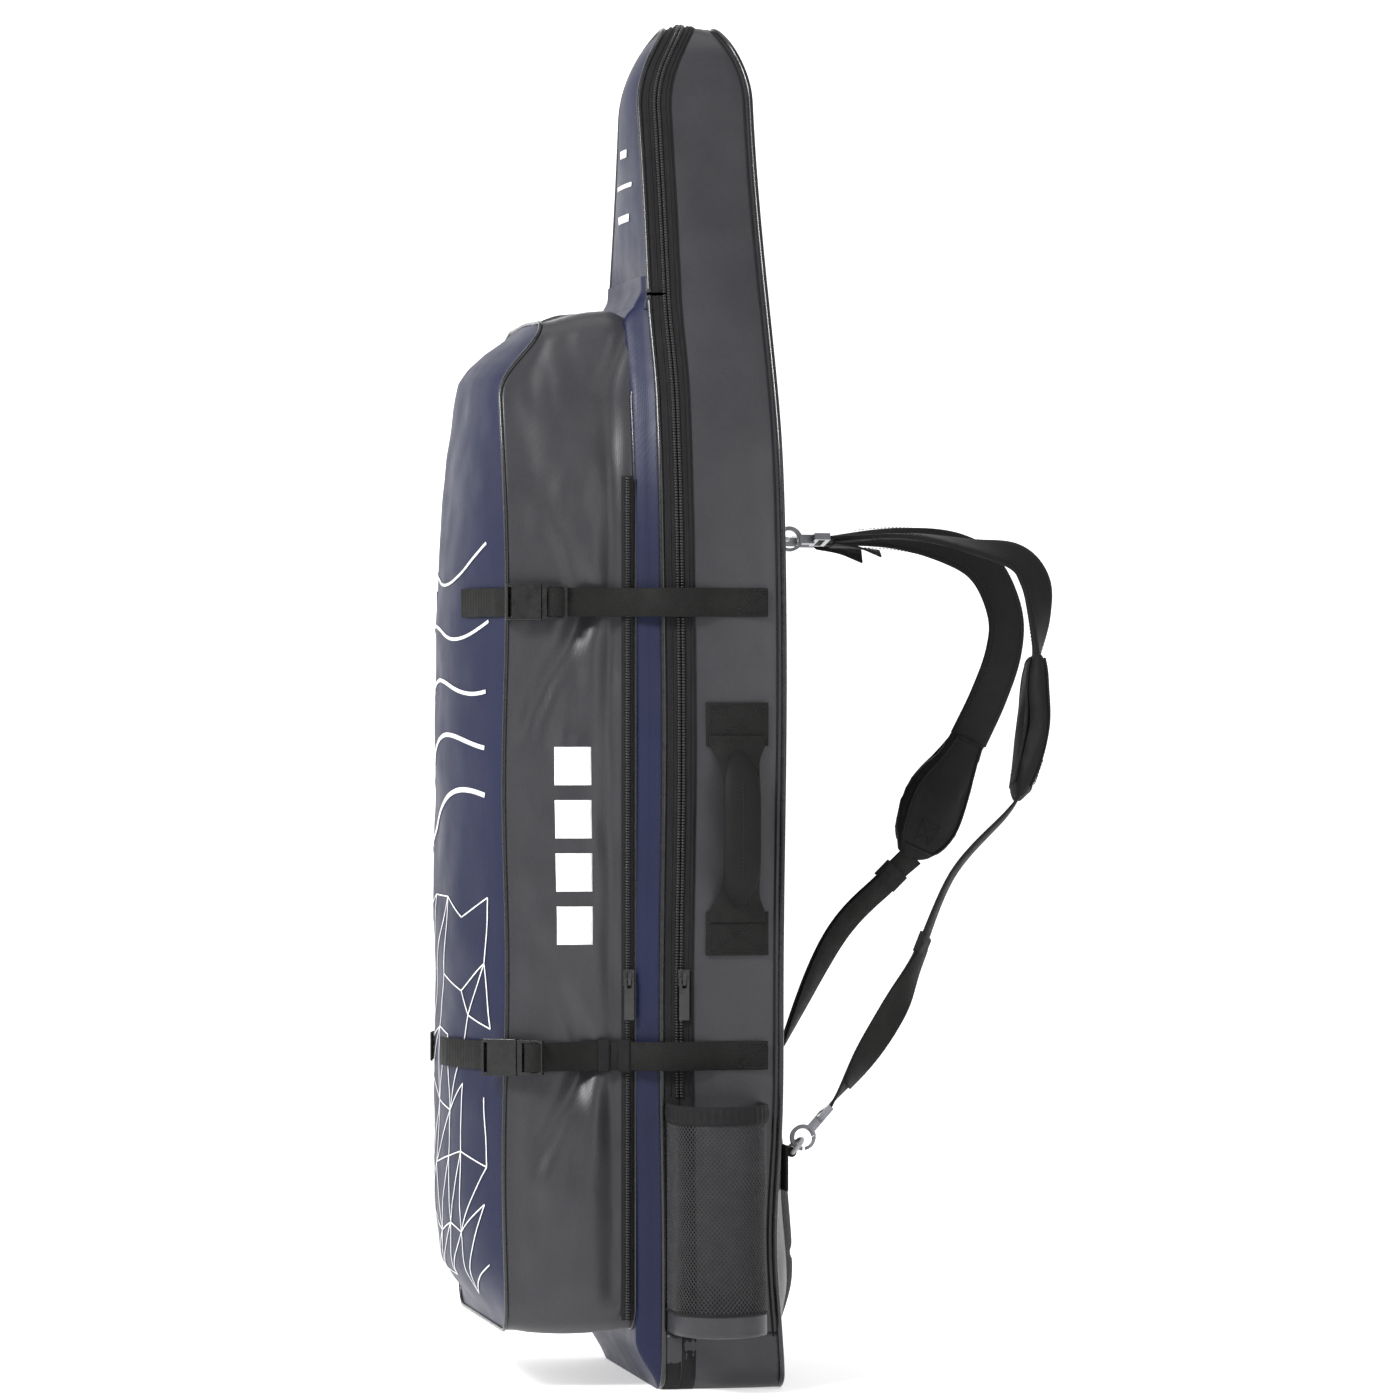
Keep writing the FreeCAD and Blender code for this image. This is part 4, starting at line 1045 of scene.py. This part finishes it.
stitch_rows = []
BRIDGE_X, SEWN_END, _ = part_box("rear_webbing_right")[1]
BRIDGE_X -= 2 * MM
FRONT_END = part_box("front_webbing_right")[0].x
FRONT_REACH = {"upper": FRONT_END + 48 * MM, "lower": FRONT_END}
BOX_INSET, BOX_LENGTH, BOX_HALF = 2 * MM, 24 * MM, 10.5 * MM
for side, sign in SIDES:
    for level in LEVELS:
        start, out, along, at_corner = strap_frame(level, side)
        buckle = f"male_buckle_{level}_{side}"
        begin = start + along * 46 * MM + out * 2.5 * MM
        pocket_rear = Vector(((P_HALF + 6 * MM) * sign, P_REAR - 14 * MM, start.z))
        line = [begin]
        if at_corner:
            line.append(Vector(((P_HALF + 2.6 * MM) * sign, P_REAR - 46 * MM, start.z)))
        line.append(pocket_rear)
        line += [Vector((x * sign, y, start.z)) for x, y in (
            (BRIDGE_X, -DEPTH - 3 * MM), (BRIDGE_X, -DEPTH + 24 * MM), (HALF + 5.4 * MM, -DEPTH + 50 * MM),
            (HALF + 5.6 * MM, SEWN_END - 18 * MM), (HALF + 5.0 * MM, SEWN_END))]
        rear = ribbon(f"rear_strap_{level}_{side}", line, [UP] * len(line), STRAP_WIDTH, STRAP_THICK, WEBBING, None,
                      steps=90)
        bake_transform(rear)
        stitch_rows += box_stitch((HALF + 6.8 * MM) * sign, SEWN_END - BOX_INSET - BOX_LENGTH, SEWN_END - BOX_INSET,
                                  start.z - BOX_HALF, start.z + BOX_HALF)
        reach = FRONT_REACH[level]
        bar = start + along * 4 * MM - out * 0.6 * MM
        share = (start.z - FRONT_LOW) / (FRONT_HIGH - FRONT_LOW)
        front_line = [bar]
        edge = (abs(start.x) - 12 * MM) / P_HALF
        for i in range(9):
            a = mix(edge, reach / P_HALF, i / 8) * sign
            front_line.append(pocket_front(a, share, out=3.0 * MM))
        strap = ribbon(f"front_strap_{level}_{side}", front_line, [UP] * len(front_line), STRAP_WIDTH, STRAP_THICK,
                       WEBBING, steps=80)
        # an elastic keeper on the webbing, and the webbing's loop over the ladder frame
        if at_corner:
            for place, share in (("front", 0.22), ("rear", 0.30)):
                spot = spline(line, share)
                run = (spline(line, share + 0.01) - spline(line, share - 0.01)).normalized()
                band_line = [spot - run * 5 * MM, spot + run * 5 * MM]
                elastic = sweep(f"keeper_{place}_{side}", band_line, [UP] * 2, [28.5 * MM] * 2, [5.5 * MM] * 2,
                                BINDING, None, steps=4, power=6)
                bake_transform(elastic)
        fold = [start + along * ahead * MM + out * lift * MM for ahead, lift in (
            (47.5, 2.2), (52.5, 5.5), (47.5, 10.2), (40.5, 10.0), (38, 5.5), (39.5, 2.6))]
        folded = ribbon(f"buckle_loop_{level}_{side}", fold, [UP] * len(fold), 24.6 * MM, STRAP_THICK, WEBBING,
                        buckle, steps=60)
        soften(buckle, f"buckle_prongs_{level}_{side}", BUCKLE, 1.3 * MM, 3)
    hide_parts(f"rear_webbing_{side}")
    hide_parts(f"front_webbing_{side}")
    soften(f"female_buckles_{side}", f"buckle_sockets_{side}", BUCKLE, 1.6 * MM, 3)

# ---- carry handle

PATCH_LOW, PATCH_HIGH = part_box("handle_patches")
GRIP_LOW, GRIP_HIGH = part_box("handle_grip")
H_Y = (PATCH_LOW.y + PATCH_HIGH.y) / 2
H_Z = (PATCH_LOW.z + PATCH_HIGH.z) / 2
PATCH_LENGTH = 38 * MM

hinge_x = JOINTS["carry_handle_swing"]["pos_m"][0]
mid_x = GRIP_HIGH.x - 6 * MM
arm_low, arm_high = GRIP_LOW.z, GRIP_HIGH.z
grip_line = [(hinge_x + 5 * MM, H_Y, arm_low + 4 * MM), (hinge_x + 11 * MM, H_Y, arm_low + 10 * MM),
             (mid_x - 6 * MM, H_Y, arm_low + 22 * MM), (mid_x - 0.5 * MM, H_Y, arm_low + 40 * MM),
             (mid_x + 1 * MM, H_Y, H_Z),
             (mid_x - 0.5 * MM, H_Y, arm_high - 40 * MM), (mid_x - 6 * MM, H_Y, arm_high - 22 * MM),
             (hinge_x + 11 * MM, H_Y, arm_high - 10 * MM), (hinge_x + 5 * MM, H_Y, arm_high - 4 * MM)]
neck_widths = [9 * MM, 16 * MM, 28 * MM, 33 * MM, 33 * MM, 33 * MM, 28 * MM, 16 * MM, 9 * MM]
neck_depths = [3 * MM, 4 * MM, 8 * MM, 12 * MM, 12.5 * MM, 12 * MM, 8 * MM, 4 * MM, 3 * MM]
grip = sweep("handle_grip_pad", grip_line, [ALONG_Y] * 9, neck_widths, neck_depths, PAD_CLOTH, "carry_handle",
             steps=80, power=2.6)
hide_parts("handle_grip")
grip_rows = [([spline(grip_line, t / 40) + OUT_X * 6.2 * MM for t in range(12, 29)], OUT_X)]
grip_seam = stitches("handle_grip_stitches", grip_rows, THREAD, "carry_handle")

for place, way in (("top", 1), ("bottom", -1)):
    edge = PATCH_HIGH.z if way > 0 else PATCH_LOW.z
    inner = edge - PATCH_LENGTH * way
    line = [Vector((HALF + 4.6 * MM, H_Y, mix(edge, inner, t))) for t in (0, 0.5, 1)]
    patch = ribbon(f"handle_patch_{place}", line, [ALONG_Y] * 3, 55 * MM, 2.0 * MM, WEBBING, steps=30)
    neck_line = [Vector((HALF + 6.4 * MM, H_Y, inner + 9 * MM * way)), Vector((HALF + 6.6 * MM, H_Y, inner)),
                 Vector((hinge_x + 6 * MM, H_Y, inner - 12 * MM * way)),
                 Vector((mid_x - 9 * MM, H_Y, inner - 24 * MM * way)),
                 Vector((mid_x - 2 * MM, H_Y, inner - 36 * MM * way))]
    neck = ribbon(f"handle_neck_{place}", neck_line, [ALONG_Y] * 5,
                  [50 * MM, 48 * MM, 38 * MM, 34 * MM, 33 * MM], 2.4 * MM, WEBBING, None, steps=50)
    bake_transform(neck)
    if way > 0:
        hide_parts("handle_patches")
    stitch_rows += box_stitch(HALF + 6.2 * MM, H_Y - 24 * MM, H_Y + 24 * MM, edge - 3 * MM * way, inner + 3 * MM * way)

# ---- bottle pocket

CUP_LOW, CUP_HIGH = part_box("bottle_pocket_base")
BAND_LOW, BAND_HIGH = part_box("bottle_pocket_band")
B_Y = (CUP_LOW.y + CUP_HIGH.y) / 2
B_R = (CUP_HIGH.y - CUP_LOW.y) / 2
B_STRAIGHT = CUP_HIGH.x - B_R


def bottle_section(s):
    """A point round the pocket's wall and its outward way, s from the front edge round to the rear edge."""
    straight = B_STRAIGHT - HALF
    total = 2 * straight + math.pi * B_R
    d = s * total
    if d < straight:
        return Vector((HALF + d, B_Y - B_R, 0)), -ALONG_Y
    if d > total - straight:
        return Vector((HALF + (total - d), B_Y + B_R, 0)), ALONG_Y.copy()
    angle = -math.pi / 2 + (d - straight) / B_R
    way = Vector((math.cos(angle), math.sin(angle), 0))
    return Vector((B_STRAIGHT, B_Y, 0)) + way * B_R, way


def bottle_wall(s, z, out=0.0):
    point, way = bottle_section(s)
    share = (z - CUP_LOW.z) / (BAND_HIGH.z - CUP_LOW.z)
    slack = -1.6 * MM * math.sin(math.pi * share) + 1.0 * MM * rumple((s * 0.2, 0, z), 0.05, 31)
    point = point + way * (out + slack * smooth(s * 8) * smooth((1 - s) * 8) - 1 * MM)
    return Vector((point.x, point.y, z))


def bottle_core(point):
    """A place inside the bottle pocket, at a point's height."""
    return Vector((HALF + 20 * MM, B_Y, max(point.z, CUP_LOW.z + 10 * MM)))


def cup_point(u, v):
    """The cup: its wall, then its turned-in floor."""
    if v > 0.6:
        return bottle_wall(u, mix(CUP_LOW.z + 6 * MM, CUP_HIGH.z, (v - 0.6) / 0.4))
    turn = smooth(v / 0.6)
    rim, way = bottle_section(u)
    inner = Vector((B_STRAIGHT - 10 * MM, B_Y, 0))
    point = inner.lerp(rim - way * (1 * MM + 5 * MM * (1 - turn) ** 2), turn)
    return Vector((max(point.x, HALF + 1 * MM), point.y, CUP_LOW.z + 2 * MM + 4 * MM * turn ** 3))


cup = grid("bottle_cup", 90, 20, cup_point, CHARCOAL, thickness=1.5 * MM, core=bottle_core)
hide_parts("bottle_pocket_base")
cup_seam = tube("bottle_cup_seam", [bottle_wall(i / 90, CUP_HIGH.z, 0.4 * MM) for i in range(91)], 1.3 * MM, BINDING)

CELL = 4.2 * MM
net_columns = int(0.21 / CELL)
net_rows = int((BAND_LOW.z - CUP_HIGH.z) / (CELL * 1.05))
verts, faces = [], []
for j in range(2 * net_rows + 1):
    for i in range(2 * net_columns + 1):
        z = mix(CUP_HIGH.z, BAND_LOW.z, j / (2 * net_rows))
        verts.append(bottle_wall(i / (2 * net_columns), z))
row = 2 * net_columns + 1
for j in range(1, 2 * net_rows):
    for i in range(1 + (j % 2), 2 * net_columns, 2):
        k = j * row + i
        faces.append((k - 1, k - row, k + 1, k + row))
net = make("bottle_net", verts, faces, NET)
cords = net.modifiers.new("cords", "WIREFRAME")
cords.thickness = 1.25 * MM
cords.use_boundary = True
cords.use_even_offset = False
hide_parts("bottle_pocket_mesh")


def band_point(u, v):
    z = mix(BAND_LOW.z - 1 * MM, BAND_HIGH.z - 0.5 * MM, v)
    gather = 0.5 * MM * math.sin(u * 190) * math.sin(math.pi * v)
    return bottle_wall(u, z, 1.2 * MM + 0.8 * MM * math.sin(math.pi * v) + gather)


band = grid("bottle_band", 240, 8, band_point, BINDING, thickness=2.6 * MM, core=bottle_core)
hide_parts("bottle_pocket_band")

# ---- rings and tabs

for level in LEVELS:
    soften(f"ring_tabs_{level}", f"ring_webbing_{level}", WEBBING, 1.0 * MM, 3)
    for side, sign in SIDES:
        soften(f"d_ring_{level}_{side}", f"ring_{level}_{side}", RING, 0.3 * MM)
        # the hooks and their gates take the mid grey with the painted glare
        soften(f"strap_hook_{level}_{side}", f"hook_{level}_{side}", HOOK_PAINTED_GLARE, 0.9 * MM, 3)
        soften(f"hook_gate_{level}_{side}", f"gate_{level}_{side}", HOOK_PAINTED_GLARE, 0.5 * MM)
        bar = JOINTS[f"ring_tilt_{level}_{side}"]["pos_m"]
        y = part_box(f"ring_tabs_{level}")[1].y
        flat = min(y, bar[1] - 3 * MM) - 0.6 * MM
        for dz in (-31, -13):
            stitch_rows.append(([Vector((bar[0] - 10 * MM, flat, bar[2] + dz * MM)),
                                 Vector((bar[0] + 10 * MM, flat, bar[2] + dz * MM))], Vector((0, 1, 0))))

seams = stitches("strap_stitches", stitch_rows, THREAD)

# ---- shoulder straps, each in the plane of its two rings

STRAP_LINES = {
    "right": {"upper": [(37, 0), (110, 4), (169, -5), (208, -14), (224, -34), (227, -64), (223, -108)],
              "pad": [(222, -110), (219, -168), (207, -226)],
              "lower": [(205, -229), (192, -246), (142, -300), (106, -378), (78, -432)], "hook_angle": 48},
    "left": {"upper": [(37, 0), (110, 4), (168, -5), (200, -25), (219, -64), (219, -100), (207, -140),
                       (190, -180)],
             "pad": [(189, -182), (165, -228), (145, -284)],
             "lower": [(143, -287), (120, -310), (70, -368)], "hook_angle": 70},
}
HOOK_LENGTH = 36 * MM
# how far each strap has twisted about its own line, in degrees, at the points of its line
TWISTS = {
    "right": {"upper": [0, 14, 30, 52, 58, 44, 8], "pad": [6, 4, 6], "lower": [6, 10, 16, 28, 72, 0]},
    "left": {"upper": [0, 22, 48, 60, 66, 72, 76, 78], "pad": [78, 78, 76], "lower": [74, 66, 60, 0]},
}
PAD_SHAPES = {
    "right": ([44, 56, 61, 62, 62, 61, 56, 40], [9, 17, 20, 21, 21, 20, 17, 9]),
    "left": ([40, 44, 52, 62, 68, 67, 55, 24], [8, 12, 15, 17, 18, 17, 14, 7]),
}


def turned(points, wide, angles):
    """The way across the strap at each point, twisted from the given way about the strap's line."""
    ways = []
    for i, angle in enumerate(angles):
        along = (points[min(i + 1, len(points) - 1)] - points[max(i - 1, 0)]).normalized()
        flat = (wide - along * wide.dot(along)).normalized()
        angle = math.radians(angle)
        ways.append(flat * math.cos(angle) + along.cross(flat) * math.sin(angle))
    return ways


for side, sign in SIDES:
    body = f"shoulder_strap_{side}"
    joint = JOINTS[f"strap_swing_{side}"]
    top, along = Vector(joint["pos_m"]), Vector(joint["axis"]).normalized()
    wide = Vector((0, 1, 0)).cross(along).normalized()
    back_way = along.cross(wide)
    low_ring = JOINTS[f"ring_tilt_lower_{side}"]["pos_m"]
    length = (top.z - low_ring[2] - 10.6 * MM) / along.z
    lines, twists = STRAP_LINES[side], TWISTS[side]
    upper, pad, lower = ([top + back_way * y * MM + along * z * MM for y, z in lines[part]]
                         for part in ("upper", "pad", "lower"))
    angle = math.radians(lines["hook_angle"])
    reach = HOOK_LENGTH + MM
    lower.append(top - along * length + back_way * reach * math.cos(angle) + along * reach * math.sin(angle))
    count = len(upper)
    upper_strap = sweep(f"upper_strap_pad_{side}", upper, turned(upper, wide, twists["upper"]),
                        [25 * MM, 33 * MM] + [38 * MM] * (count - 2),
                        [3 * MM] + [5.5 * MM] * (count - 2) + [8 * MM], PAD_CLOTH, body, steps=110, power=3.6)
    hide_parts(f"upper_strap_{side}")
    edge_ways = turned(upper, wide, twists["upper"])
    rows = []
    for edge in (-1, 1):
        for face in (-1, 1):
            line = []
            for i in range(8, 101):
                t = i / 100
                way = spline(edge_ways, t).normalized()
                run = (spline(upper, min(t + 0.01, 1)) - spline(upper, t - 0.01)).normalized()
                normal = run.cross(way)
                line.append(spline(upper, t) + way * edge * 14.5 * MM + normal * face * 2.9 * MM)
            rows.append((line, normal * face))
    strap_seams = stitches(f"upper_strap_stitches_{side}", rows, THREAD, body)

    overlap = 9 * MM
    pad_line = [pad[0] + (upper[-2] - upper[-1]).normalized() * overlap, pad[0].lerp(pad[1], 0.4), pad[1],
                pad[1].lerp(pad[2], 0.6), pad[2] + (lower[1] - lower[0]).normalized() * overlap]
    pad_ways = turned(pad_line, wide, [twists["pad"][0]] * 2 + [twists["pad"][1]] + [twists["pad"][2]] * 2)
    widths, depths = ([v * MM for v in values] for values in PAD_SHAPES[side])
    cushion = sweep(f"shoulder_cushion_{side}", pad_line, pad_ways, widths, depths, PAD_CLOTH, body, steps=70,
                    power=3.0, round_count=40)
    inflate(cushion)
    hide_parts(f"shoulder_pad_{side}")

    def pad_face(u, v, lift, face):
        """A point on the pad's face, u across and v along."""
        t = mix(0.06, 0.90, v)
        run = (spline(pad_line, t + 0.01) - spline(pad_line, t - 0.01)).normalized()
        way = spline(pad_ways, t).normalized()
        half = spline([(w, 0, 0) for w in widths], t).x / 2 - 7 * MM
        depth = spline([(w, 0, 0) for w in depths], t).x / 2
        across = 2 * u - 1
        dome = depth * (1 - 0.16 * abs(across) ** 2.5)
        return spline(pad_line, t) + way * half * across + run.cross(way) * face * (dome + lift)

    bindings = []
    for face, where, cloth in ((-1, "outer", PAD_CLOTH), (1, "inner", AIR_MESH)):
        liner = grid(f"pad_liner_{where}_{side}", 16, 40, lambda u, v: pad_face(u, v, 1.1 * MM, face=face), cloth, body,
                     core=lambda point: spline(pad_line, 0.5))
        thicken(liner, 1.2 * MM)
        ring = [pad_face(i / 10, 0, 1.2 * MM, face=face) for i in range(11)]
        ring += [pad_face(1, i / 40, 1.2 * MM, face=face) for i in range(1, 41)]
        ring += [pad_face(1 - i / 10, 1, 1.2 * MM, face=face) for i in range(1, 11)]
        ring += [pad_face(0, 1 - i / 40, 1.2 * MM, face=face) for i in range(1, 40)]
        binding = tube(f"pad_binding_{where}_{side}", ring, 1.3 * MM, BINDING, body, closed=True)
        box = [pad_face(a, b, 2.4 * MM, face=face) for a, b in ((0.32, 0.76), (0.68, 0.76), (0.68, 0.93),
                                                               (0.32, 0.93), (0.32, 0.76))]
        normal = (box[0] - spline(pad_line, 0.8)).normalized()
        bindings += [(box, normal), ([box[0], box[2]], normal), ([box[1], box[3]], normal)]
    box_stitch = stitches(f"pad_box_stitch_{side}", bindings, THREAD, body)

    lower_ways = turned(lower, wide, twists["lower"])
    strap = ribbon(f"lower_strap_{side}", lower, lower_ways, 25 * MM, 2.2 * MM, WEBBING, body, steps=110)
    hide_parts(f"lower_webbing_{side}")
    keeper_t = 0.56 if side == "right" else 0.3
    keeper_at = spline(lower, keeper_t)
    run = (spline(lower, keeper_t + 0.02) - spline(lower, keeper_t - 0.02)).normalized()
    keeper = sweep(f"lower_strap_keeper_{side}", [keeper_at - run * 9 * MM, keeper_at + run * 9 * MM],
                   [spline(lower_ways, keeper_t)] * 2, [29 * MM] * 2, [7 * MM] * 2, BINDING, body, steps=6, power=5)
    doubled_line = [spline(lower, mix(keeper_t, 1.0, i / 8)) for i in range(8)]
    doubled_ways = [spline(lower_ways, mix(keeper_t, 1.0, i / 8)) for i in range(8)]
    doubled_line = [p + (doubled_line[min(i + 1, 7)] - doubled_line[max(i - 1, 0)]).normalized().cross(
        doubled_ways[i]).normalized() * -2.6 * MM for i, p in enumerate(doubled_line)]
    doubled = ribbon(f"lower_strap_doubled_{side}", doubled_line, doubled_ways, 24.6 * MM, 1.8 * MM, WEBBING, body,
                     steps=70)

    # the free tail of the upper webbing, by the upper hook
    tail = [top + back_way * y * MM + along * z * MM for y, z in ((40, -4.5), (62, -6.5), (84, -12))]
    free = ribbon(f"upper_strap_tail_{side}", tail, turned(tail, wide, [0, 10, 25]), 24 * MM, 1.8 * MM, WEBBING, body,
                  steps=30)

# ---- a plain printed pattern on the pocket's front, and plain bars on the flap


def print_line(points, width):
    """A thin raised band of print through points on the pocket's front, given as (a, share) pairs."""
    verts = []
    span = FRONT_HIGH - FRONT_LOW
    for i, (a, share) in enumerate(points):
        ahead = points[min(i + 1, len(points) - 1)]
        behind = points[max(i - 1, 0)]
        dx, dz = (ahead[0] - behind[0]) * P_HALF, (ahead[1] - behind[1]) * span
        size = max(math.hypot(dx, dz), 1e-9)
        px, pz = -dz / size * width / 2, dx / size * width / 2
        verts.append(pocket_front(a + px / P_HALF, share + pz / span, out=PRINT_LIFT))
        verts.append(pocket_front(a - px / P_HALF, share - pz / span, out=PRINT_LIFT))
    faces = [(2 * i, 2 * i + 1, 2 * i + 3, 2 * i + 2) for i in range(len(points) - 1)]
    return verts, faces


def gather(name, parts, material, body="bag"):
    verts, faces = [], []
    for more, quads in parts:
        faces += [tuple(k + len(verts) for k in quad) for quad in quads]
        verts += more
    piece = make(name, verts, faces, material, body, core=lambda point: Vector((point.x, 0, point.z)))
    thicken(piece, PRINT_THICK, 1)
    return piece


def straight_between(a, b):
    return [(mix(a[0], b[0], i / 14), mix(a[1], b[1], i / 14)) for i in range(15)]


dice = random.Random(7)
facets = []
rows, columns = 6, 6
nodes = [[((2 * i / columns - 1) * 0.86 + dice.uniform(-0.07, 0.07),
           0.05 + 0.36 * j / rows + dice.uniform(-0.022, 0.022)) for i in range(columns + 1)]
         for j in range(rows + 1)]
for j in range(rows + 1):
    for i in range(columns + 1):
        ends = []
        if i < columns:
            ends.append(nodes[j][i + 1])
        if j < rows:
            ends.append(nodes[j + 1][i])
        if i < columns and j < rows:
            ends.append(nodes[j + 1][i + 1])
        for end in ends:
            if dice.random() < 0.78:
                facets.append(print_line(straight_between(nodes[j][i], end), 1.2 * MM))
network = gather("front_print_facets", facets, PRINT)

waves = []
for k in range(5):
    base_share = 0.50 + 0.062 * k
    points = []
    for i in range(90):
        a = mix(-0.82, 0.82, i / 89)
        share = base_share + 0.018 * math.sin(a * 3.6 + k * 0.9) + 0.03 * a
        points.append((a, share))
    waves.append(print_line(points, (4.4 - 0.5 * k) * MM))
ripples = gather("front_print_waves", waves, PRINT)

bars = []
for k, (length, height) in enumerate(((0.34, 7), (0.52, 4), (0.26, 7))):
    verts, faces = [], []
    z = mix(FLAP, TOP, 0.30 + 0.12 * k)
    for i in range(31):
        x = mix(-length, length, i / 30) * outline(distance_at(z))[0].x
        for dz in (-height / 2, height / 2):
            height_z = z + dz * MM
            half = outline(distance_at(height_z))[0].x
            v = (distance_at(height_z) - FLAP_START) / (LENGTH - FLAP_START)
            verts.append(flap_point((1 - x / half) / 2, v) + Vector((0, -0.5 * MM, 0)))
    faces = [(2 * i, 2 * i + 2, 2 * i + 3, 2 * i + 1) for i in range(30)]
    bars.append((verts, faces))
marks = gather("flap_print_bars", bars, PRINT, "front_flap")

# four plain squares up the pocket's right side, as shares of the way round its seam and across its gusset
PRINT_LOW, PRINT_HIGH = 0.335, 0.525
for k in range(4):
    low, high = (mix(PRINT_LOW, PRINT_HIGH, (k + end) / 4) for end in (0, 0.72))

    def block_point(u, v):
        around = P_HALF + mix(low, high, v) * (POCKET_LENGTH - P_HALF)
        return pocket_side(around, 1, mix(0.34, 0.62, u)) + OUT_X * PRINT_LIFT

    block = grid(f"side_print_block_{k}", 10, 24, block_point, PRINT, thickness=PRINT_THICK, core=pocket_core)

# ---- floor, light and camera

BOX_LOW, BOX_HIGH = (Vector(corner) for corner in CAD_BOX)
FLOOR_DROP = 0.2 * MM
CAMERA_AZIMUTH = math.radians(80)
view_back = Vector((math.sin(CAMERA_AZIMUTH), -math.cos(CAMERA_AZIMUTH), 0))
view_right = Vector((math.cos(CAMERA_AZIMUTH), math.sin(CAMERA_AZIMUTH), 0))


def studio_point(u, v):
    """A floor that curves up into a backdrop behind the bag, seen from the camera."""
    across = mix(-7, 7, u)
    bend, reach = 1.2, 3.4
    d = mix(-8, 9, v)
    if d < reach:
        ahead, up = d, 0.0
    elif d < reach + bend * math.pi / 2:
        angle = (d - reach) / bend
        ahead, up = reach + bend * math.sin(angle), bend * (1 - math.cos(angle))
    else:
        ahead, up = reach + bend, bend + d - reach - bend * math.pi / 2
    return view_right * across - view_back * ahead + UP * (up - FLOOR_DROP)


studio, tree, shader = material("studio_paper", (0.93, 0.93, 0.93), 0.85, specular=0.2)
tint(tree, shader, noise_node(tree, 0.8, 2), (0.92, 0.92, 0.92), (0.94, 0.94, 0.94))
shader.inputs["Emission Color"].default_value = (1, 1, 1, 1)
shader.inputs["Emission Strength"].default_value = 0.52
floor = grid("studio_floor", 2, 120, studio_point, studio)

world = bpy.context.scene.world or bpy.data.worlds.new("studio")
bpy.context.scene.world = world
world.use_nodes = True
backdrop = world.node_tree.nodes.get("Background") or world.node_tree.nodes.new("ShaderNodeBackground")
backdrop.inputs["Color"].default_value = (1, 1, 1, 1)
backdrop.inputs["Strength"].default_value = 0.34
bpy.context.scene.view_settings.view_transform = "Standard"


def lamp(name, place, target, size, power):
    data = bpy.data.lights.new(name, "AREA")
    data.shape, data.size, data.energy = "SQUARE", size, power
    light = bpy.data.objects.new(name, data)
    light.location = place
    light.rotation_euler = (Vector(target) - Vector(place)).to_track_quat("-Z", "Y").to_euler()
    bpy.context.scene.collection.objects.link(light)


MIDDLE = (BOX_LOW + BOX_HIGH) / 2
lamp("key", MIDDLE + view_back * 2.2 - view_right * 1.6 + Vector((0, 0, 1.8)), MIDDLE, 0.8, 105)
lamp("fill", MIDDLE + view_back * 2.4 + view_right * 2.2 + Vector((0, 0, 0.8)), MIDDLE, 2.0, 26)
lamp("front_rim", MIDDLE + view_back * 0.2 - view_right * 2.0 + Vector((0, 0, 0.7)), MIDDLE, 1.0, 13)
lamp("top", MIDDLE + Vector((0, 0, 2.4)), MIDDLE, 1.6, 12)

camera_data = bpy.data.cameras.new("camera")
camera_data.sensor_width = 36
DISTANCE_TO_BAG, FRAME_HEIGHT, FRAME_SHIFT = 6.0, 1.25, 7.1 * MM
camera_data.lens = 36 * DISTANCE_TO_BAG / FRAME_HEIGHT
camera = bpy.data.objects.new("camera", camera_data)
target = view_right * FRAME_SHIFT + Vector((0, 0, (BOX_LOW.z + BOX_HIGH.z) / 2))
camera.location = target + view_back * DISTANCE_TO_BAG
camera.rotation_euler = (target - camera.location).to_track_quat("-Z", "Y").to_euler()
bpy.context.scene.collection.objects.link(camera)
bpy.context.scene.camera = camera
